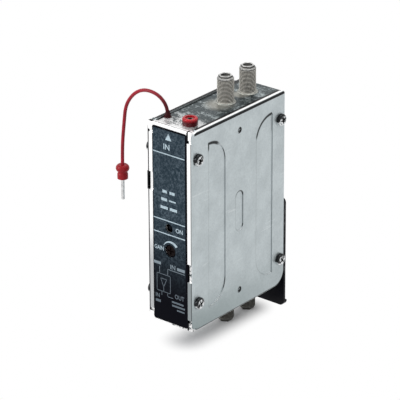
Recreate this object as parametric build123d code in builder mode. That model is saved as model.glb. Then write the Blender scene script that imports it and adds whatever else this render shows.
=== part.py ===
from build123d import *
from math import radians, tan
import os

os.makedirs("parts", exist_ok=True)

# A plug-in television signal amplifier in a flat sheet-metal case, in millimetres.
# The origin is where the axis of the fixing hole meets the back of the mounting bracket.
# +X is the right-hand side seen from the label, +Y points back to the carrier, +Z is up.

# Case
body_width = 32.0
body_depth = 82.5
body_height = 120.0
cover_sheet = 0.8
chassis_sheet = 0.8
case_gap = 0.05
overrun = 1.0

# Covers
front_flange_width = 3.7
edge_flange_width = 3.0
cover_edge_radius = 1.1
cover_corner_radius = 4.5
cover_back_top_radius = 2.5
cover_back_low_radius = 9.0
front_flange_relief = 6.7
edge_flange_start = 5.0
top_flange_stop = 3.5
low_flange_stop = 10.0
notch_low = 30.0
notch_height = 11.0
panel_width = 14.6
panel_end_distance = 10.75
panel_front_distance = 21.45
panel_back_distance = 18.8
panel_inner_radius = 13.6
panel_outer_radius = 0.8
middle_panel_width = 6.5
middle_panel_height = 24.0
press_depth = 0.4
dimple_radius = 2.4
dimple_depth = 0.5
dimple_end_distance = 11.3

# Cover screws and the pillars between the covers
screw_edge_distance = 4.6
screw_end_distance = 16.8
screw_head_radius = 3.5
screw_head_height = 2.2
screw_head_rounding = 1.2
screw_shank_radius = 1.45
screw_shank_length = 6.8
screw_slot_length = 4.0
screw_slot_width = 0.9
screw_slot_depth = 1.1
screw_hole_play = 0.25
screw_bore_gap = 0.05
pillar_flats = 5.5

# Chassis
chassis_bend_radius = 1.6
lip_height = 1.6
low_lip_height = 1.0
lip_leg_length = 4.9
lip_rounding = 0.7

# Front label
label_sheet = 0.6
label_gap = 0.1
label_corner_radius = 1.5

# Mounting bracket
bracket_sheet = 1.4
bracket_reach = 53.0
foot_drop = 15.0
bracket_corner_radius = 3.0
bracket_lip_depth = 1.5
bracket_lip_height = 3.5
bracket_lip_rounding = 0.7
fixing_hole_radius = 2.25
fixing_hole_drop = 7.5
upper_rivet_drop = 9.0
rivet_radius = 1.6
rivet_sink_share = 0.9
rivet_head_radius = 2.6
rivet_head_height = 0.9
rivet_gap = 0.05

# Coaxial sockets
port_back_distances = {"front": 33.7, "rear": 14.0}
port_reach = 16.1
thread_radius = 4.7625
thread_depth = 0.46
thread_start = 0.7
thread_pitch = 0.794
thread_crest = 0.12
thread_flank = 0.25
port_shoulder_height = 0.7
port_neck_radius = 4.5
port_nose_flats = 7.0
port_nose_height = 1.1
port_nose_bevel = 0.25
port_mouth_radius = 2.6
port_mouth_depth = 1.5
port_bore_radius = 3.3
port_flange_width = 0.84
port_flange_height = 2.5
insulator_gap = 0.05
contact_radius = 1.1
contact_bore_radius = 0.55
contact_bore_depth = 9.0
contact_recess = 2.5
entry_radius = 0.7
tail_radius = 0.5
tail_length = 5.8
solder_ring_width = 1.1
solder_ring_height = 0.6
solder_ring_bevel = 0.45

# Supply socket on the top
socket_side_distance = 10.7
socket_setback = 11.4
bush_radius = 4.35
bush_height = 4.0
bush_rounding = 0.8
bush_dish_radius = 2.7
bush_dish_depth = 0.6
bush_neck_radius = 2.9
bush_ring_radius = 3.5
bush_ring_height = 1.6
bush_gap = 0.05
socket_bore_radius = 1.1
socket_bore_depth = 13.0
socket_wall = 0.5
socket_floor = 1.0
link_sheet = 0.5
link_width = 2.4

# Supply lead
lead_radius = 1.0
lead_side_distance = 5.1
lead_setback = 11.8
grommet_radius = 2.1
grommet_neck_radius = 1.6
grommet_height = 0.8
grommet_gap = 0.05
tail_drop = 11.0
tail_turn_radius = 5.0
plug_collar_length = 8.3
plug_bulge_radius = 3.85
plug_bulge_height = 4.0
plug_shoulder_radius = 2.6
plug_waist_radius = 2.75
plug_waist_height = 1.0
plug_skirt_radius = 3.05
plug_edge_rounding = 0.5
plug_pin_radius = 1.0
plug_pin_length = 13.1
pin_tip_share = 0.9
pin_root_radius = 0.8
pin_root_depth = 4.0
pin_root_gap = 0.05

# Circuit board
board_sheet = 1.6
board_gap = 0.4
board_end_gap = 6.0
clip_sheet = 0.5
clip_foot = 4.0
clip_width = 5.0
clip_reach = 8.0
clip_shares = (0.35, 0.74)

# Indicator lamp
lamp_x = -1.1
lamp_height = 58.9
lamp_radius = 1.5
lamp_window_radius = 2.6
lamp_length = 4.8
lamp_rim_radius = 1.9
lamp_rim_height = 1.0
lamp_recess = 0.8
lamp_leg_width = 0.5
lamp_leg_spacing = 2.54
lamp_leg_lap = 3.0

# Gain control
gain_x = -0.3
gain_lamp_spacing = 13.7
gain_window_radius = 3.85
gain_window_play = 0.3
pot_side = 9.8
pot_depth = 5.0
pot_front_gap = 0.6
rotor_head_radius = 3.1
rotor_recess = 0.5
rotor_journal_radius = 1.5
rotor_journal_length = 3.2
rotor_gap = 0.05
rotor_end_gap = 0.4
rotor_slot_length = 4.6
rotor_slot_width = 0.9
rotor_slot_depth = 0.9
pot_leg_sheet = 0.4
pot_leg_width = 0.9
pot_leg_spacing = 2.5
pot_leg_lap = 4.0

# Parts on the board: their places are shares of its length and height
shield_sheet = 0.5
shield_height_share = 0.485
shield_cover_gap = 1.3
shield_end_gap = 5.0
capacitor_radius = 4.0
capacitor_rise = 11.0
capacitor_rounding = 0.5
capacitor_length_share = 0.21
capacitor_height_shares = (0.167, 0.296, 0.722)
band_height_shares = (0.185, 0.352, 0.611, 0.778)
core_radius = 3.0
core_bore_radius = 1.4
core_rise = 3.2
core_length_share = 0.4
chip_length = 5.0
chip_width = 4.0
chip_rise = 1.5
chip_length_share = 0.55
small_part_length = 2.0
small_part_width = 1.2
small_part_rise = 0.9
small_part_pitch_y = 5.0
small_part_pitch_z = 8.0
small_part_length_share = 0.735
small_part_height_shares = (0.167, 0.759)
regulator_length_share = 0.826
regulator_height_share = 0.38
regulator_body_length = 9.0
regulator_body_width = 10.0
regulator_body_rise = 4.4
regulator_tab_length = 6.0
regulator_tab_rise = 1.3
regulator_hole_radius = 1.8

# Planes and faces of the case
half_width = body_width / 2
body_back = -bracket_sheet
body_front = body_back - body_depth
body_low = fixing_hole_drop
body_top = body_low + body_height
middle_y = (body_front + body_back) / 2
middle_z = (body_low + body_top) / 2
plate_inside = half_width - cover_sheet
chassis_half_width = plate_inside - case_gap
chassis_front = body_front + cover_sheet + case_gap
chassis_low = body_low + cover_sheet + case_gap
chassis_top = body_top - cover_sheet - case_gap
chassis_back_low_radius = cover_back_low_radius - cover_sheet - case_gap
chassis_depth = body_back - chassis_front
chassis_height = chassis_top - chassis_low
chassis_middle_y = (chassis_front + body_back) / 2
inner_front = chassis_front + chassis_sheet
inner_back = body_back - chassis_sheet
inner_low = chassis_low + chassis_sheet
inner_top = chassis_top - chassis_sheet
label_face = chassis_front - label_sheet
window_low = body_low + low_lip_height
window_top = body_top - lip_height
window_height = window_top - window_low
window_middle_z = (window_low + window_top) / 2
label_width = body_width - 2 * (front_flange_width + label_gap)
screw_y = (body_front + screw_edge_distance, body_back - screw_edge_distance)
screw_z = (body_low + screw_end_distance, body_top - screw_end_distance)
screw_places = [(y, z) for y in screw_y for z in screw_z]
screw_turns = (20, 65, 40, 5)
panel_places = [
    (body_front + panel_front_distance, middle_z),
    (body_back - panel_back_distance, middle_z),
]
panel_height = body_height - 2 * panel_end_distance
rivet_sink_radius = rivet_radius + rivet_gap + rivet_sink_share * bracket_sheet
rivet_z = (
    body_low + cover_back_low_radius + rivet_head_radius,
    body_low + bracket_reach - upper_rivet_drop,
)
port_y = {place: body_back - distance for place, distance in port_back_distances.items()}
port_flange_radius = thread_radius + port_flange_width
socket_x = half_width - socket_side_distance
socket_y = body_front + socket_setback
lead_x = lead_side_distance - half_width
lead_y = body_front + lead_setback
lamp_z = body_low + lamp_height
gain_z = lamp_z - gain_lamp_spacing
pot_front = inner_front + pot_front_gap
pot_back = pot_front + pot_depth

# Faces of the circuit board, which stands between the pillars and behind the gain control
board_face = -tail_radius
board_back_face = board_face - board_sheet
board_front = max(screw_y[0] + pillar_flats / 2, pot_back) + board_gap
board_length = screw_y[1] - pillar_flats / 2 - board_gap - board_front
board_low = body_low + board_end_gap
board_height = body_height - 2 * board_end_gap


def on_board(length_share, height_share):
    """Point on the board's parts side, at shares of its length and height."""
    y = board_front + length_share * board_length
    z = board_low + height_share * board_height
    return board_face, y, z


def front_plane(y):
    """Plane facing the viewer of the label, at the given y: local x is X and local y is Z."""
    return Plane.XZ.offset(-y)


def side_plane(x):
    """Plane facing +X at the given x: local x is Y and local y is Z."""
    return Plane.YZ.offset(x)


def ring_outline(inset):
    """Side outline of the chassis ring, drawn in by the inset, with one wide bend low at the back."""
    with BuildSketch(mode=Mode.PRIVATE) as outline:
        with Locations((chassis_middle_y, middle_z)):
            Rectangle(chassis_depth - 2 * inset, chassis_height - 2 * inset)
        back_low = outline.vertices().group_by(Axis.X)[-1].sort_by(Axis.Y)[0]
        fillet(back_low, radius=chassis_back_low_radius - inset)
        back_top = outline.vertices().group_by(Axis.X)[-1].sort_by(Axis.Y)[-1]
        fillet(back_top, radius=chassis_bend_radius - inset)
        fillet(outline.vertices().group_by(Axis.X)[0], radius=chassis_bend_radius - inset)
    return outline.sketch


# Chassis: a sheet ring, open at both sides, with its ends folded over the front
with BuildPart() as chassis:
    with BuildSketch(side_plane(-chassis_half_width)):
        add(ring_outline(0))
        add(ring_outline(chassis_sheet), mode=Mode.SUBTRACT)
    extrude(amount=2 * chassis_half_width)
    with BuildSketch(side_plane(-chassis_half_width)):
        for edge_z, way in ((body_top, Align.MAX), (body_low, Align.MIN)):
            with Locations((chassis_front, edge_z)):
                Rectangle(chassis_bend_radius, body_top - inner_top, align=(Align.MIN, way))
    extrude(amount=2 * chassis_half_width)
    with BuildSketch(front_plane(body_front)):
        with Locations((0, middle_z)):
            Rectangle(2 * chassis_half_width, body_height)
            Rectangle(2 * chassis_half_width, body_height - 2 * lip_leg_length, mode=Mode.SUBTRACT)
        with Locations((0, window_middle_z)):
            RectangleRounded(
                label_width + 2 * label_gap,
                window_height,
                label_corner_radius,
                mode=Mode.SUBTRACT,
            )
    extrude(amount=body_front - chassis_front)
    lip_edges = chassis.edges().filter_by(Axis.X).group_by(Axis.Y)[0].sort_by(Axis.Z)
    fillet([lip_edges[0], lip_edges[-1]], radius=lip_rounding)
    with BuildSketch(front_plane(body_front)):
        with Locations((lamp_x, lamp_z)):
            Circle(lamp_window_radius + label_gap)
        with Locations((gain_x, gain_z)):
            Circle(gain_window_radius + gain_window_play)
    extrude(amount=-(inner_front - body_front) - overrun, mode=Mode.SUBTRACT)
    with BuildSketch(Plane.XY.offset(body_low)):
        for y in port_y.values():
            with Locations((0, y)):
                Circle(thread_radius + case_gap)
    extrude(amount=body_height, mode=Mode.SUBTRACT)
    with BuildSketch(Plane.XY.offset(inner_top - overrun)):
        with Locations((socket_x, socket_y)):
            Circle(bush_neck_radius + bush_gap)
        with Locations((lead_x, lead_y)):
            Circle(grommet_neck_radius + grommet_gap)
    extrude(amount=chassis_sheet + 2 * overrun, mode=Mode.SUBTRACT)
    with BuildSketch(front_plane(inner_back - overrun)):
        for z in rivet_z:
            with Locations((0, z)):
                Circle(rivet_radius + rivet_gap)
    extrude(amount=-chassis_sheet - 2 * overrun, mode=Mode.SUBTRACT)
chassis.part.label = "chassis"
export_step(chassis.part, "parts/chassis.step")


def cover_outline(inset):
    """Outline of a cover plate, drawn in by the inset on every side."""
    with BuildSketch(mode=Mode.PRIVATE) as outline:
        with Locations((middle_y, middle_z)):
            Rectangle(body_depth - 2 * inset, body_height - 2 * inset)
        back_low = outline.vertices().group_by(Axis.X)[-1].sort_by(Axis.Y)[0]
        fillet(back_low, radius=cover_back_low_radius - inset)
        back_top = outline.vertices().group_by(Axis.X)[-1].sort_by(Axis.Y)[-1]
        fillet(back_top, radius=cover_back_top_radius - inset)
        front_corners = outline.vertices().group_by(Axis.X)[0]
        fillet(front_corners, radius=cover_corner_radius - inset)
    return outline.sketch


# Right cover: a shallow pressed tray whose flanges lap the front, top and bottom of the chassis
with BuildPart() as cover_right:
    with BuildSketch(side_plane(half_width)):
        add(cover_outline(0))
    extrude(amount=-front_flange_width)
    fillet(cover_right.faces().sort_by(Axis.X)[-1].edges(), radius=cover_edge_radius)
    with BuildSketch(side_plane(plate_inside)):
        add(cover_outline(cover_sheet))
    extrude(amount=-front_flange_width, mode=Mode.SUBTRACT)
    # Flanges are cut away at the back, at the corners and at the front notch
    with BuildSketch(side_plane(plate_inside)):
        with Locations((body_back + overrun, middle_z)):
            Rectangle(
                cover_sheet + overrun, body_height + 2 * overrun, align=(Align.MAX, Align.CENTER)
            )
        with Locations((body_back + overrun, body_top + overrun)):
            Rectangle(
                top_flange_stop + overrun,
                cover_back_top_radius + 2 * overrun,
                align=(Align.MAX, Align.MAX),
            )
        with Locations((body_back + overrun, body_low - overrun)):
            Rectangle(
                low_flange_stop + overrun,
                cover_back_low_radius + 2 * overrun,
                align=(Align.MAX, Align.MIN),
            )
        for edge_z, way in ((body_top + overrun, Align.MAX), (body_low - overrun, Align.MIN)):
            with Locations((body_front - overrun, edge_z)):
                Rectangle(
                    edge_flange_start + overrun,
                    front_flange_relief + overrun,
                    align=(Align.MIN, way),
                )
        with Locations((body_front - overrun, body_low + notch_low)):
            Rectangle(
                cover_edge_radius + 2 * overrun, notch_height, align=(Align.MIN, Align.MIN)
            )
    extrude(amount=-front_flange_width, mode=Mode.SUBTRACT)
    with BuildSketch(side_plane(half_width - edge_flange_width)):
        with Locations((body_front + edge_flange_start, middle_z)):
            Rectangle(
                body_depth, body_height + 2 * overrun, align=(Align.MIN, Align.CENTER)
            )
    extrude(amount=-front_flange_width, mode=Mode.SUBTRACT)
    with BuildSketch(side_plane(plate_inside)):
        with Locations((body_front, body_low + notch_low)):
            Rectangle(cover_edge_radius, notch_height, align=(Align.MIN, Align.MIN))
    extrude(amount=cover_sheet)
    # Pressed panels: raised inside, then sunk outside by the same depth. The long ones have a straight
    # outer side, and wide corners on the side that faces the middle
    for panel_x, panel_mode in ((plate_inside, Mode.ADD), (half_width, Mode.SUBTRACT)):
        with BuildSketch(side_plane(panel_x)) as panels:
            with Locations(*panel_places):
                Rectangle(panel_width, panel_height)
            front_outer, front_inner, back_inner, back_outer = panels.vertices().group_by(Axis.X)
            fillet(front_inner + back_inner, radius=panel_inner_radius)
            outer = panels.vertices().group_by(Axis.X)
            fillet(outer[0] + outer[-1], radius=panel_outer_radius)
            with Locations((middle_y, middle_z)):
                SlotOverall(middle_panel_height, middle_panel_width, rotation=90)
        extrude(amount=-press_depth, mode=panel_mode)
    dimple_x = half_width + dimple_radius - dimple_depth
    for dimple_z in (body_low + dimple_end_distance, body_top - dimple_end_distance):
        with Locations((dimple_x, middle_y, dimple_z)):
            Sphere(dimple_radius, mode=Mode.SUBTRACT)
    with BuildSketch(side_plane(half_width)):
        with Locations(*screw_places):
            Circle(screw_shank_radius + screw_hole_play)
    extrude(amount=-cover_sheet - overrun, mode=Mode.SUBTRACT)
cover_right.part.label = "cover_right"
export_step(cover_right.part, "parts/cover_right.step")

# Left cover: the same pressing, turned over about the front-to-back axis
with BuildPart() as cover_left:
    add(cover_right.part.rotate(Axis((0, 0, middle_z), (0, 1, 0)), 180))
cover_left.part.label = "cover_left"
export_step(cover_left.part, "parts/cover_left.step")

# Cover screws: pan heads with a crossed slot, each turned as it was left
with BuildPart() as cover_screws_right:
    with BuildSketch(side_plane(half_width)):
        with Locations(*screw_places):
            Circle(screw_head_radius)
    extrude(amount=screw_head_height)
    fillet(cover_screws_right.edges().group_by(Axis.X)[-1], radius=screw_head_rounding)
    with BuildSketch(side_plane(half_width)):
        with Locations(*screw_places):
            Circle(screw_shank_radius)
    extrude(amount=-screw_shank_length)
    with BuildSketch(side_plane(half_width + screw_head_height)):
        for place, turn in zip(screw_places, screw_turns):
            with Locations(place):
                Rectangle(screw_slot_length, screw_slot_width, rotation=turn)
                Rectangle(screw_slot_width, screw_slot_length, rotation=turn)
    extrude(amount=-screw_slot_depth, mode=Mode.SUBTRACT)
cover_screws_right.part.label = "cover_screws_right"
export_step(cover_screws_right.part, "parts/cover_screws_right.step")

with BuildPart() as cover_screws_left:
    mirror(cover_screws_right.part, about=Plane.YZ)
cover_screws_left.part.label = "cover_screws_left"
export_step(cover_screws_left.part, "parts/cover_screws_left.step")

# Threaded pillars that run from cover to cover
with BuildPart() as cover_pillars:
    with BuildSketch(side_plane(-chassis_half_width)):
        with Locations(*screw_places):
            RegularPolygon(pillar_flats / 2, 6, major_radius=False, rotation=30)
            Circle(screw_shank_radius + screw_bore_gap, mode=Mode.SUBTRACT)
    extrude(amount=2 * chassis_half_width)
cover_pillars.part.label = "cover_pillars"
export_step(cover_pillars.part, "parts/cover_pillars.step")

# Front label: a printed plate with a lamp window and a gain window
with BuildPart() as front_label:
    with BuildSketch(front_plane(chassis_front)):
        with Locations((0, window_middle_z)):
            RectangleRounded(
                label_width,
                window_height - 2 * label_gap,
                label_corner_radius - label_gap,
            )
        with Locations((lamp_x, lamp_z)):
            Circle(lamp_window_radius, mode=Mode.SUBTRACT)
        with Locations((gain_x, gain_z)):
            Circle(gain_window_radius, mode=Mode.SUBTRACT)
    extrude(amount=label_sheet)
front_label.part.label = "front_label"
export_step(front_label.part, "parts/front_label.step")

# Mounting bracket: a plate behind the case with a foot below it and a hooked lower edge
with BuildPart() as mounting_bracket:
    with BuildSketch(side_plane(-half_width)) as bracket_profile:
        with Locations((0, body_low - foot_drop)):
            Rectangle(bracket_sheet, foot_drop + bracket_reach, align=(Align.MAX, Align.MIN))
            Rectangle(bracket_lip_depth, bracket_lip_height, align=(Align.MIN, Align.MIN))
        fillet(bracket_profile.vertices().group_by(Axis.X)[-1], radius=bracket_lip_rounding)
    extrude(amount=body_width)
    with BuildSketch(front_plane(bracket_lip_depth)) as bracket_outline:
        with Locations((0, body_low - foot_drop)):
            Rectangle(body_width, foot_drop + bracket_reach, align=(Align.CENTER, Align.MIN))
        fillet(bracket_outline.vertices(), radius=bracket_corner_radius)
    extrude(amount=bracket_lip_depth + bracket_sheet, mode=Mode.INTERSECT)
    with Locations(Plane((0, 0, 0), x_dir=(1, 0, 0), z_dir=(0, 1, 0))):
        Hole(fixing_hole_radius, depth=bracket_sheet + overrun)
    for z in rivet_z:
        with Locations(Plane((0, 0, z), x_dir=(1, 0, 0), z_dir=(0, 1, 0))):
            CounterSinkHole(rivet_radius + rivet_gap, rivet_sink_radius, bracket_sheet + overrun, 90)
mounting_bracket.part.label = "mounting_bracket"
export_step(mounting_bracket.part, "parts/mounting_bracket.step")

# Rivets: sunk flush at the back of the bracket, domed inside the chassis
with BuildPart() as bracket_rivets:
    for z in rivet_z:
        rivet_plane = Plane((0, 0, z), x_dir=(1, 0, 0), z_dir=(0, 0, 1))
        sink_height = rivet_sink_radius - rivet_radius - rivet_gap
        with BuildSketch(rivet_plane):
            with BuildLine():
                Polyline(
                    (0, 0),
                    (rivet_sink_radius - rivet_gap, 0),
                    (rivet_radius, -sink_height),
                    (rivet_radius, inner_back),
                    (rivet_head_radius, inner_back),
                    (rivet_head_radius, inner_back - rivet_head_height / 2),
                    (rivet_radius, inner_back - rivet_head_height),
                    (0, inner_back - rivet_head_height),
                    (0, 0),
                )
            make_face()
        revolve(axis=Axis(rivet_plane.origin, (0, 1, 0)))
bracket_rivets.part.label = "bracket_rivets"
export_step(bracket_rivets.part, "parts/bracket_rivets.step")

# Circuit board, on edge between the coaxial sockets
with BuildPart() as circuit_board:
    with BuildSketch(side_plane(board_back_face)):
        with Locations((board_front, board_low)):
            Rectangle(board_length, board_height, align=(Align.MIN, Align.MIN))
    extrude(amount=board_sheet)
circuit_board.part.label = "circuit_board"
export_step(circuit_board.part, "parts/circuit_board.step")

# Clips that carry the board from the top and bottom of the chassis, ahead of the coaxial sockets
clip_run = port_y["front"] - port_flange_radius - board_front
with BuildPart() as board_clips:
    for clip_share in clip_shares:
        for plate_z, way in ((inner_top, Align.MAX), (inner_low, Align.MIN)):
            with Locations((board_back_face, board_front + clip_share * clip_run, plate_z)):
                Box(clip_sheet, clip_width, clip_reach, align=(Align.MAX, Align.CENTER, way))
                Box(clip_foot, clip_width, clip_sheet, align=(Align.MAX, Align.CENTER, way))
board_clips.part.label = "board_clips"
export_step(board_clips.part, "parts/board_clips.step")

# Coaxial sockets: two on the top and two below, each drawn outward from the chassis
port_planes = {}
for place, y in port_y.items():
    port_planes["top_" + place] = Plane((0, y, chassis_top), x_dir=(1, 0, 0), z_dir=(0, -1, 0))
    port_planes["low_" + place] = Plane((0, y, chassis_low), x_dir=(1, 0, 0), z_dir=(0, 1, 0))

port_inside = -chassis_sheet - port_flange_height
thread_root_radius = thread_radius - thread_depth
nose_start = port_reach - port_nose_height
thread_turns = int((nose_start - port_shoulder_height - thread_start) / thread_pitch)
thread_end = thread_start + thread_turns * thread_pitch
shell_points = [
    (0, port_inside),
    (port_flange_radius, port_inside),
    (port_flange_radius, -chassis_sheet),
    (thread_radius, -chassis_sheet),
    (thread_radius, thread_start - thread_flank),
]
for turn in range(thread_turns):
    foot = thread_start + turn * thread_pitch
    crest = foot + thread_pitch - thread_crest - thread_flank
    shell_points += [
        (thread_root_radius, foot),
        (thread_root_radius, crest - thread_flank),
        (thread_radius, crest),
        (thread_radius, crest + thread_crest),
    ]
shell_points += [
    (port_neck_radius, thread_end),
    (port_neck_radius, nose_start - port_shoulder_height / 2),
    (port_nose_flats / 2, nose_start),
    (0, nose_start),
    (0, port_inside),
]
shell_bore_points = [
    (0, port_inside - overrun),
    (port_bore_radius, port_inside - overrun),
    (port_bore_radius, port_reach - port_mouth_depth),
    (port_mouth_radius, port_reach - port_mouth_depth),
    (port_mouth_radius, port_reach + overrun),
    (0, port_reach + overrun),
    (0, port_inside - overrun),
]
insulator_front = port_reach - contact_recess + port_mouth_depth / 2
insulator_points = [
    (contact_radius + insulator_gap, port_inside),
    (port_bore_radius - insulator_gap, port_inside),
    (port_bore_radius - insulator_gap, port_reach - port_mouth_depth - insulator_gap),
    (port_mouth_radius - insulator_gap, port_reach - port_mouth_depth - insulator_gap),
    (port_mouth_radius - insulator_gap, insulator_front),
    (entry_radius, insulator_front),
    (entry_radius, port_reach - contact_recess),
    (contact_radius + insulator_gap, port_reach - contact_recess),
    (contact_radius + insulator_gap, port_inside),
]
contact_front = port_reach - contact_recess - insulator_gap
contact_points = [
    (0, port_inside - tail_length),
    (tail_radius, port_inside - tail_length),
    (tail_radius, port_inside),
    (contact_radius, port_inside),
    (contact_radius, contact_front),
    (contact_bore_radius, contact_front),
    (contact_bore_radius, contact_front - contact_bore_depth),
    (0, contact_front - contact_bore_depth),
    (0, port_inside - tail_length),
]
for place, plane in port_planes.items():
    port_axis = Axis(plane.origin, plane.y_dir)
    with BuildPart() as socket_shell:
        with BuildSketch(plane):
            with BuildLine():
                Polyline(*shell_points)
            make_face()
        revolve(axis=port_axis)
        nose_origin = plane.origin + plane.y_dir * nose_start
        with BuildSketch(Plane(nose_origin, x_dir=(1, 0, 0), z_dir=plane.y_dir)):
            RegularPolygon(port_nose_flats / 2, 6, major_radius=False, rotation=30)
        extrude(amount=port_nose_height)
        nose_face = socket_shell.faces().sort_by(port_axis)[-1]
        chamfer(nose_face.edges(), length=port_nose_bevel)
        with BuildSketch(plane):
            with BuildLine():
                Polyline(*shell_bore_points)
            make_face()
        revolve(axis=port_axis, mode=Mode.SUBTRACT)
    socket_shell.part.label = f"{place}_socket_shell"
    export_step(socket_shell.part, f"parts/{place}_socket_shell.step")
    for piece, points in (
        ("socket_insulator", insulator_points),
        ("socket_contact", contact_points),
    ):
        with BuildPart() as port_piece:
            with BuildSketch(plane):
                with BuildLine():
                    Polyline(*points)
                make_face()
            revolve(axis=port_axis)
        port_piece.part.label = f"{place}_{piece}"
        export_step(port_piece.part, f"parts/{place}_{piece}.step")

# Solder rings around the four socket barrels
ring_inside = thread_radius + case_gap
with BuildPart() as solder_rings:
    for plane in port_planes.values():
        with BuildSketch(plane):
            with BuildLine():
                Polyline(
                    (ring_inside, 0),
                    (ring_inside + solder_ring_width, 0),
                    (ring_inside + solder_ring_width, solder_ring_height - solder_ring_bevel),
                    (ring_inside + solder_ring_width - solder_ring_bevel, solder_ring_height),
                    (ring_inside, solder_ring_height),
                    (ring_inside, 0),
                )
            make_face()
        revolve(axis=Axis(plane.origin, plane.y_dir))
solder_rings.part.label = "solder_rings"
export_step(solder_rings.part, "parts/solder_rings.step")

# Supply socket: an insulating bush with a metal sleeve and a link down to the board
socket_plane = Plane((socket_x, socket_y, chassis_top), x_dir=(1, 0, 0), z_dir=(0, -1, 0))
sleeve_radius = socket_bore_radius + socket_wall
sleeve_top = bush_height - bush_dish_depth - bush_gap
sleeve_low = sleeve_top - socket_bore_depth - socket_floor
bush_low = -chassis_sheet - bush_ring_height
with BuildPart() as supply_socket_bush:
    with BuildSketch(socket_plane):
        with BuildLine():
            Polyline(
                (sleeve_radius + bush_gap, bush_low),
                (bush_ring_radius, bush_low),
                (bush_ring_radius, -chassis_sheet),
                (bush_neck_radius, -chassis_sheet),
                (bush_neck_radius, 0),
                (bush_radius, 0),
                (bush_radius, bush_height),
                (bush_dish_radius, bush_height),
                (bush_dish_radius, bush_height - bush_dish_depth),
                (sleeve_radius + bush_gap, bush_height - bush_dish_depth),
                (sleeve_radius + bush_gap, bush_low),
            )
        make_face()
    revolve(axis=Axis(socket_plane.origin, (0, 0, 1)))
    bush_rim = supply_socket_bush.edges().group_by(Axis.Z)[-1].sort_by(SortBy.RADIUS)[-1]
    fillet(bush_rim, radius=bush_rounding)
supply_socket_bush.part.label = "supply_socket_bush"
export_step(supply_socket_bush.part, "parts/supply_socket_bush.step")

with BuildPart() as supply_socket_sleeve:
    with BuildSketch(Plane((socket_x, socket_y, chassis_top + sleeve_low))):
        Circle(sleeve_radius)
    extrude(amount=socket_bore_depth + socket_floor)
    with BuildSketch(Plane((socket_x, socket_y, chassis_top + sleeve_top))):
        Circle(socket_bore_radius)
    extrude(amount=-socket_bore_depth, mode=Mode.SUBTRACT)
supply_socket_sleeve.part.label = "supply_socket_sleeve"
export_step(supply_socket_sleeve.part, "parts/supply_socket_sleeve.step")

with BuildPart() as supply_link:
    with Locations((board_face, socket_y, chassis_top + sleeve_low)):
        Box(
            socket_x + sleeve_radius - board_face,
            link_width,
            link_sheet,
            align=(Align.MIN, Align.CENTER, Align.MAX),
        )
        Box(
            link_sheet,
            link_width,
            link_width + link_sheet,
            align=(Align.MIN, Align.CENTER, Align.MAX),
        )
supply_link.part.label = "supply_link"
export_step(supply_link.part, "parts/supply_link.step")

# Grommet where the supply lead leaves the top
grommet_plane = Plane((lead_x, lead_y, chassis_top), x_dir=(1, 0, 0), z_dir=(0, -1, 0))
grommet_low = -chassis_sheet - grommet_height
with BuildPart() as lead_grommet:
    with BuildSketch(grommet_plane):
        with BuildLine():
            Polyline(
                (lead_radius + grommet_gap, grommet_low),
                (grommet_radius, grommet_low),
                (grommet_radius, -chassis_sheet),
                (grommet_neck_radius, -chassis_sheet),
                (grommet_neck_radius, 0),
                (grommet_radius, 0),
                (grommet_radius, grommet_height / 2),
                (grommet_neck_radius, grommet_height),
                (lead_radius + grommet_gap, grommet_height),
                (lead_radius + grommet_gap, grommet_low),
            )
        make_face()
    revolve(axis=Axis(grommet_plane.origin, (0, 0, 1)))
lead_grommet.part.label = "lead_grommet"
export_step(lead_grommet.part, "parts/lead_grommet.step")

# Held end of the lead, through the grommet and down to the back of the board
lead_exit = Vector(lead_x, lead_y, chassis_top + grommet_height)
with BuildPart() as lead_inner_end:
    with BuildLine() as inner_route:
        FilletPolyline(
            lead_exit,
            (lead_x, lead_y, inner_top - tail_drop),
            (board_back_face, lead_y, inner_top - tail_drop),
            radius=tail_turn_radius,
        )
    with BuildSketch(Plane(lead_exit, x_dir=(1, 0, 0), z_dir=(0, 0, -1))):
        Circle(lead_radius)
    sweep(path=inner_route.line)
lead_inner_end.part.label = "lead_inner_end"
export_step(lead_inner_end.part, "parts/lead_inner_end.step")

# Free lead: its route as steps from the exit, chosen by hand
lead_steps = [
    (0.0, 0.0, 0.0),
    (0.0, 0.0, 4.6),
    (-4.8, -0.3, 10.1),
    (-11.4, -0.8, 12.0),
    (-17.8, -1.3, 11.1),
    (-23.6, -1.9, 7.0),
    (-28.4, -2.2, -0.6),
    (-29.4, -2.5, -10.2),
    (-31.2, -2.4, -25.4),
    (-31.2, -2.4, -36.8),
]
arc_share = 0.45


def corner_radii(points, names):
    """Radius at each inner point: as large as its shorter run and its turn allow."""
    radii = []
    for before, at, after in zip(points, points[1:], points[2:]):
        turn = (at - before).get_angle(after - at)
        shorter = min((at - before).length, (after - at).length)
        radii.append(arc_share * shorter / tan(radians(turn) / 2))
    print(names, "radii", [round(radius, 1) for radius in radii])
    return radii


lead_route = [lead_exit + Vector(*step) for step in lead_steps]
with BuildPart() as supply_lead:
    with BuildLine() as lead_path:
        FilletPolyline(*lead_route, radius=corner_radii(lead_route, "supply lead"))
    with BuildSketch(Plane(lead_exit)):
        Circle(lead_radius)
    sweep(path=lead_path.line)
supply_lead.part.label = "supply_lead"
export_step(supply_lead.part, "parts/supply_lead.step")
lead_length = sum(edge.length for edge in lead_path.edges())
lead_section = Circle(lead_radius, mode=Mode.PRIVATE).area
print("supply lead length", round(lead_length, 2), "volume", round(supply_lead.part.volume, 2))
print("section times length", round(lead_section * lead_length, 2))

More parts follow.
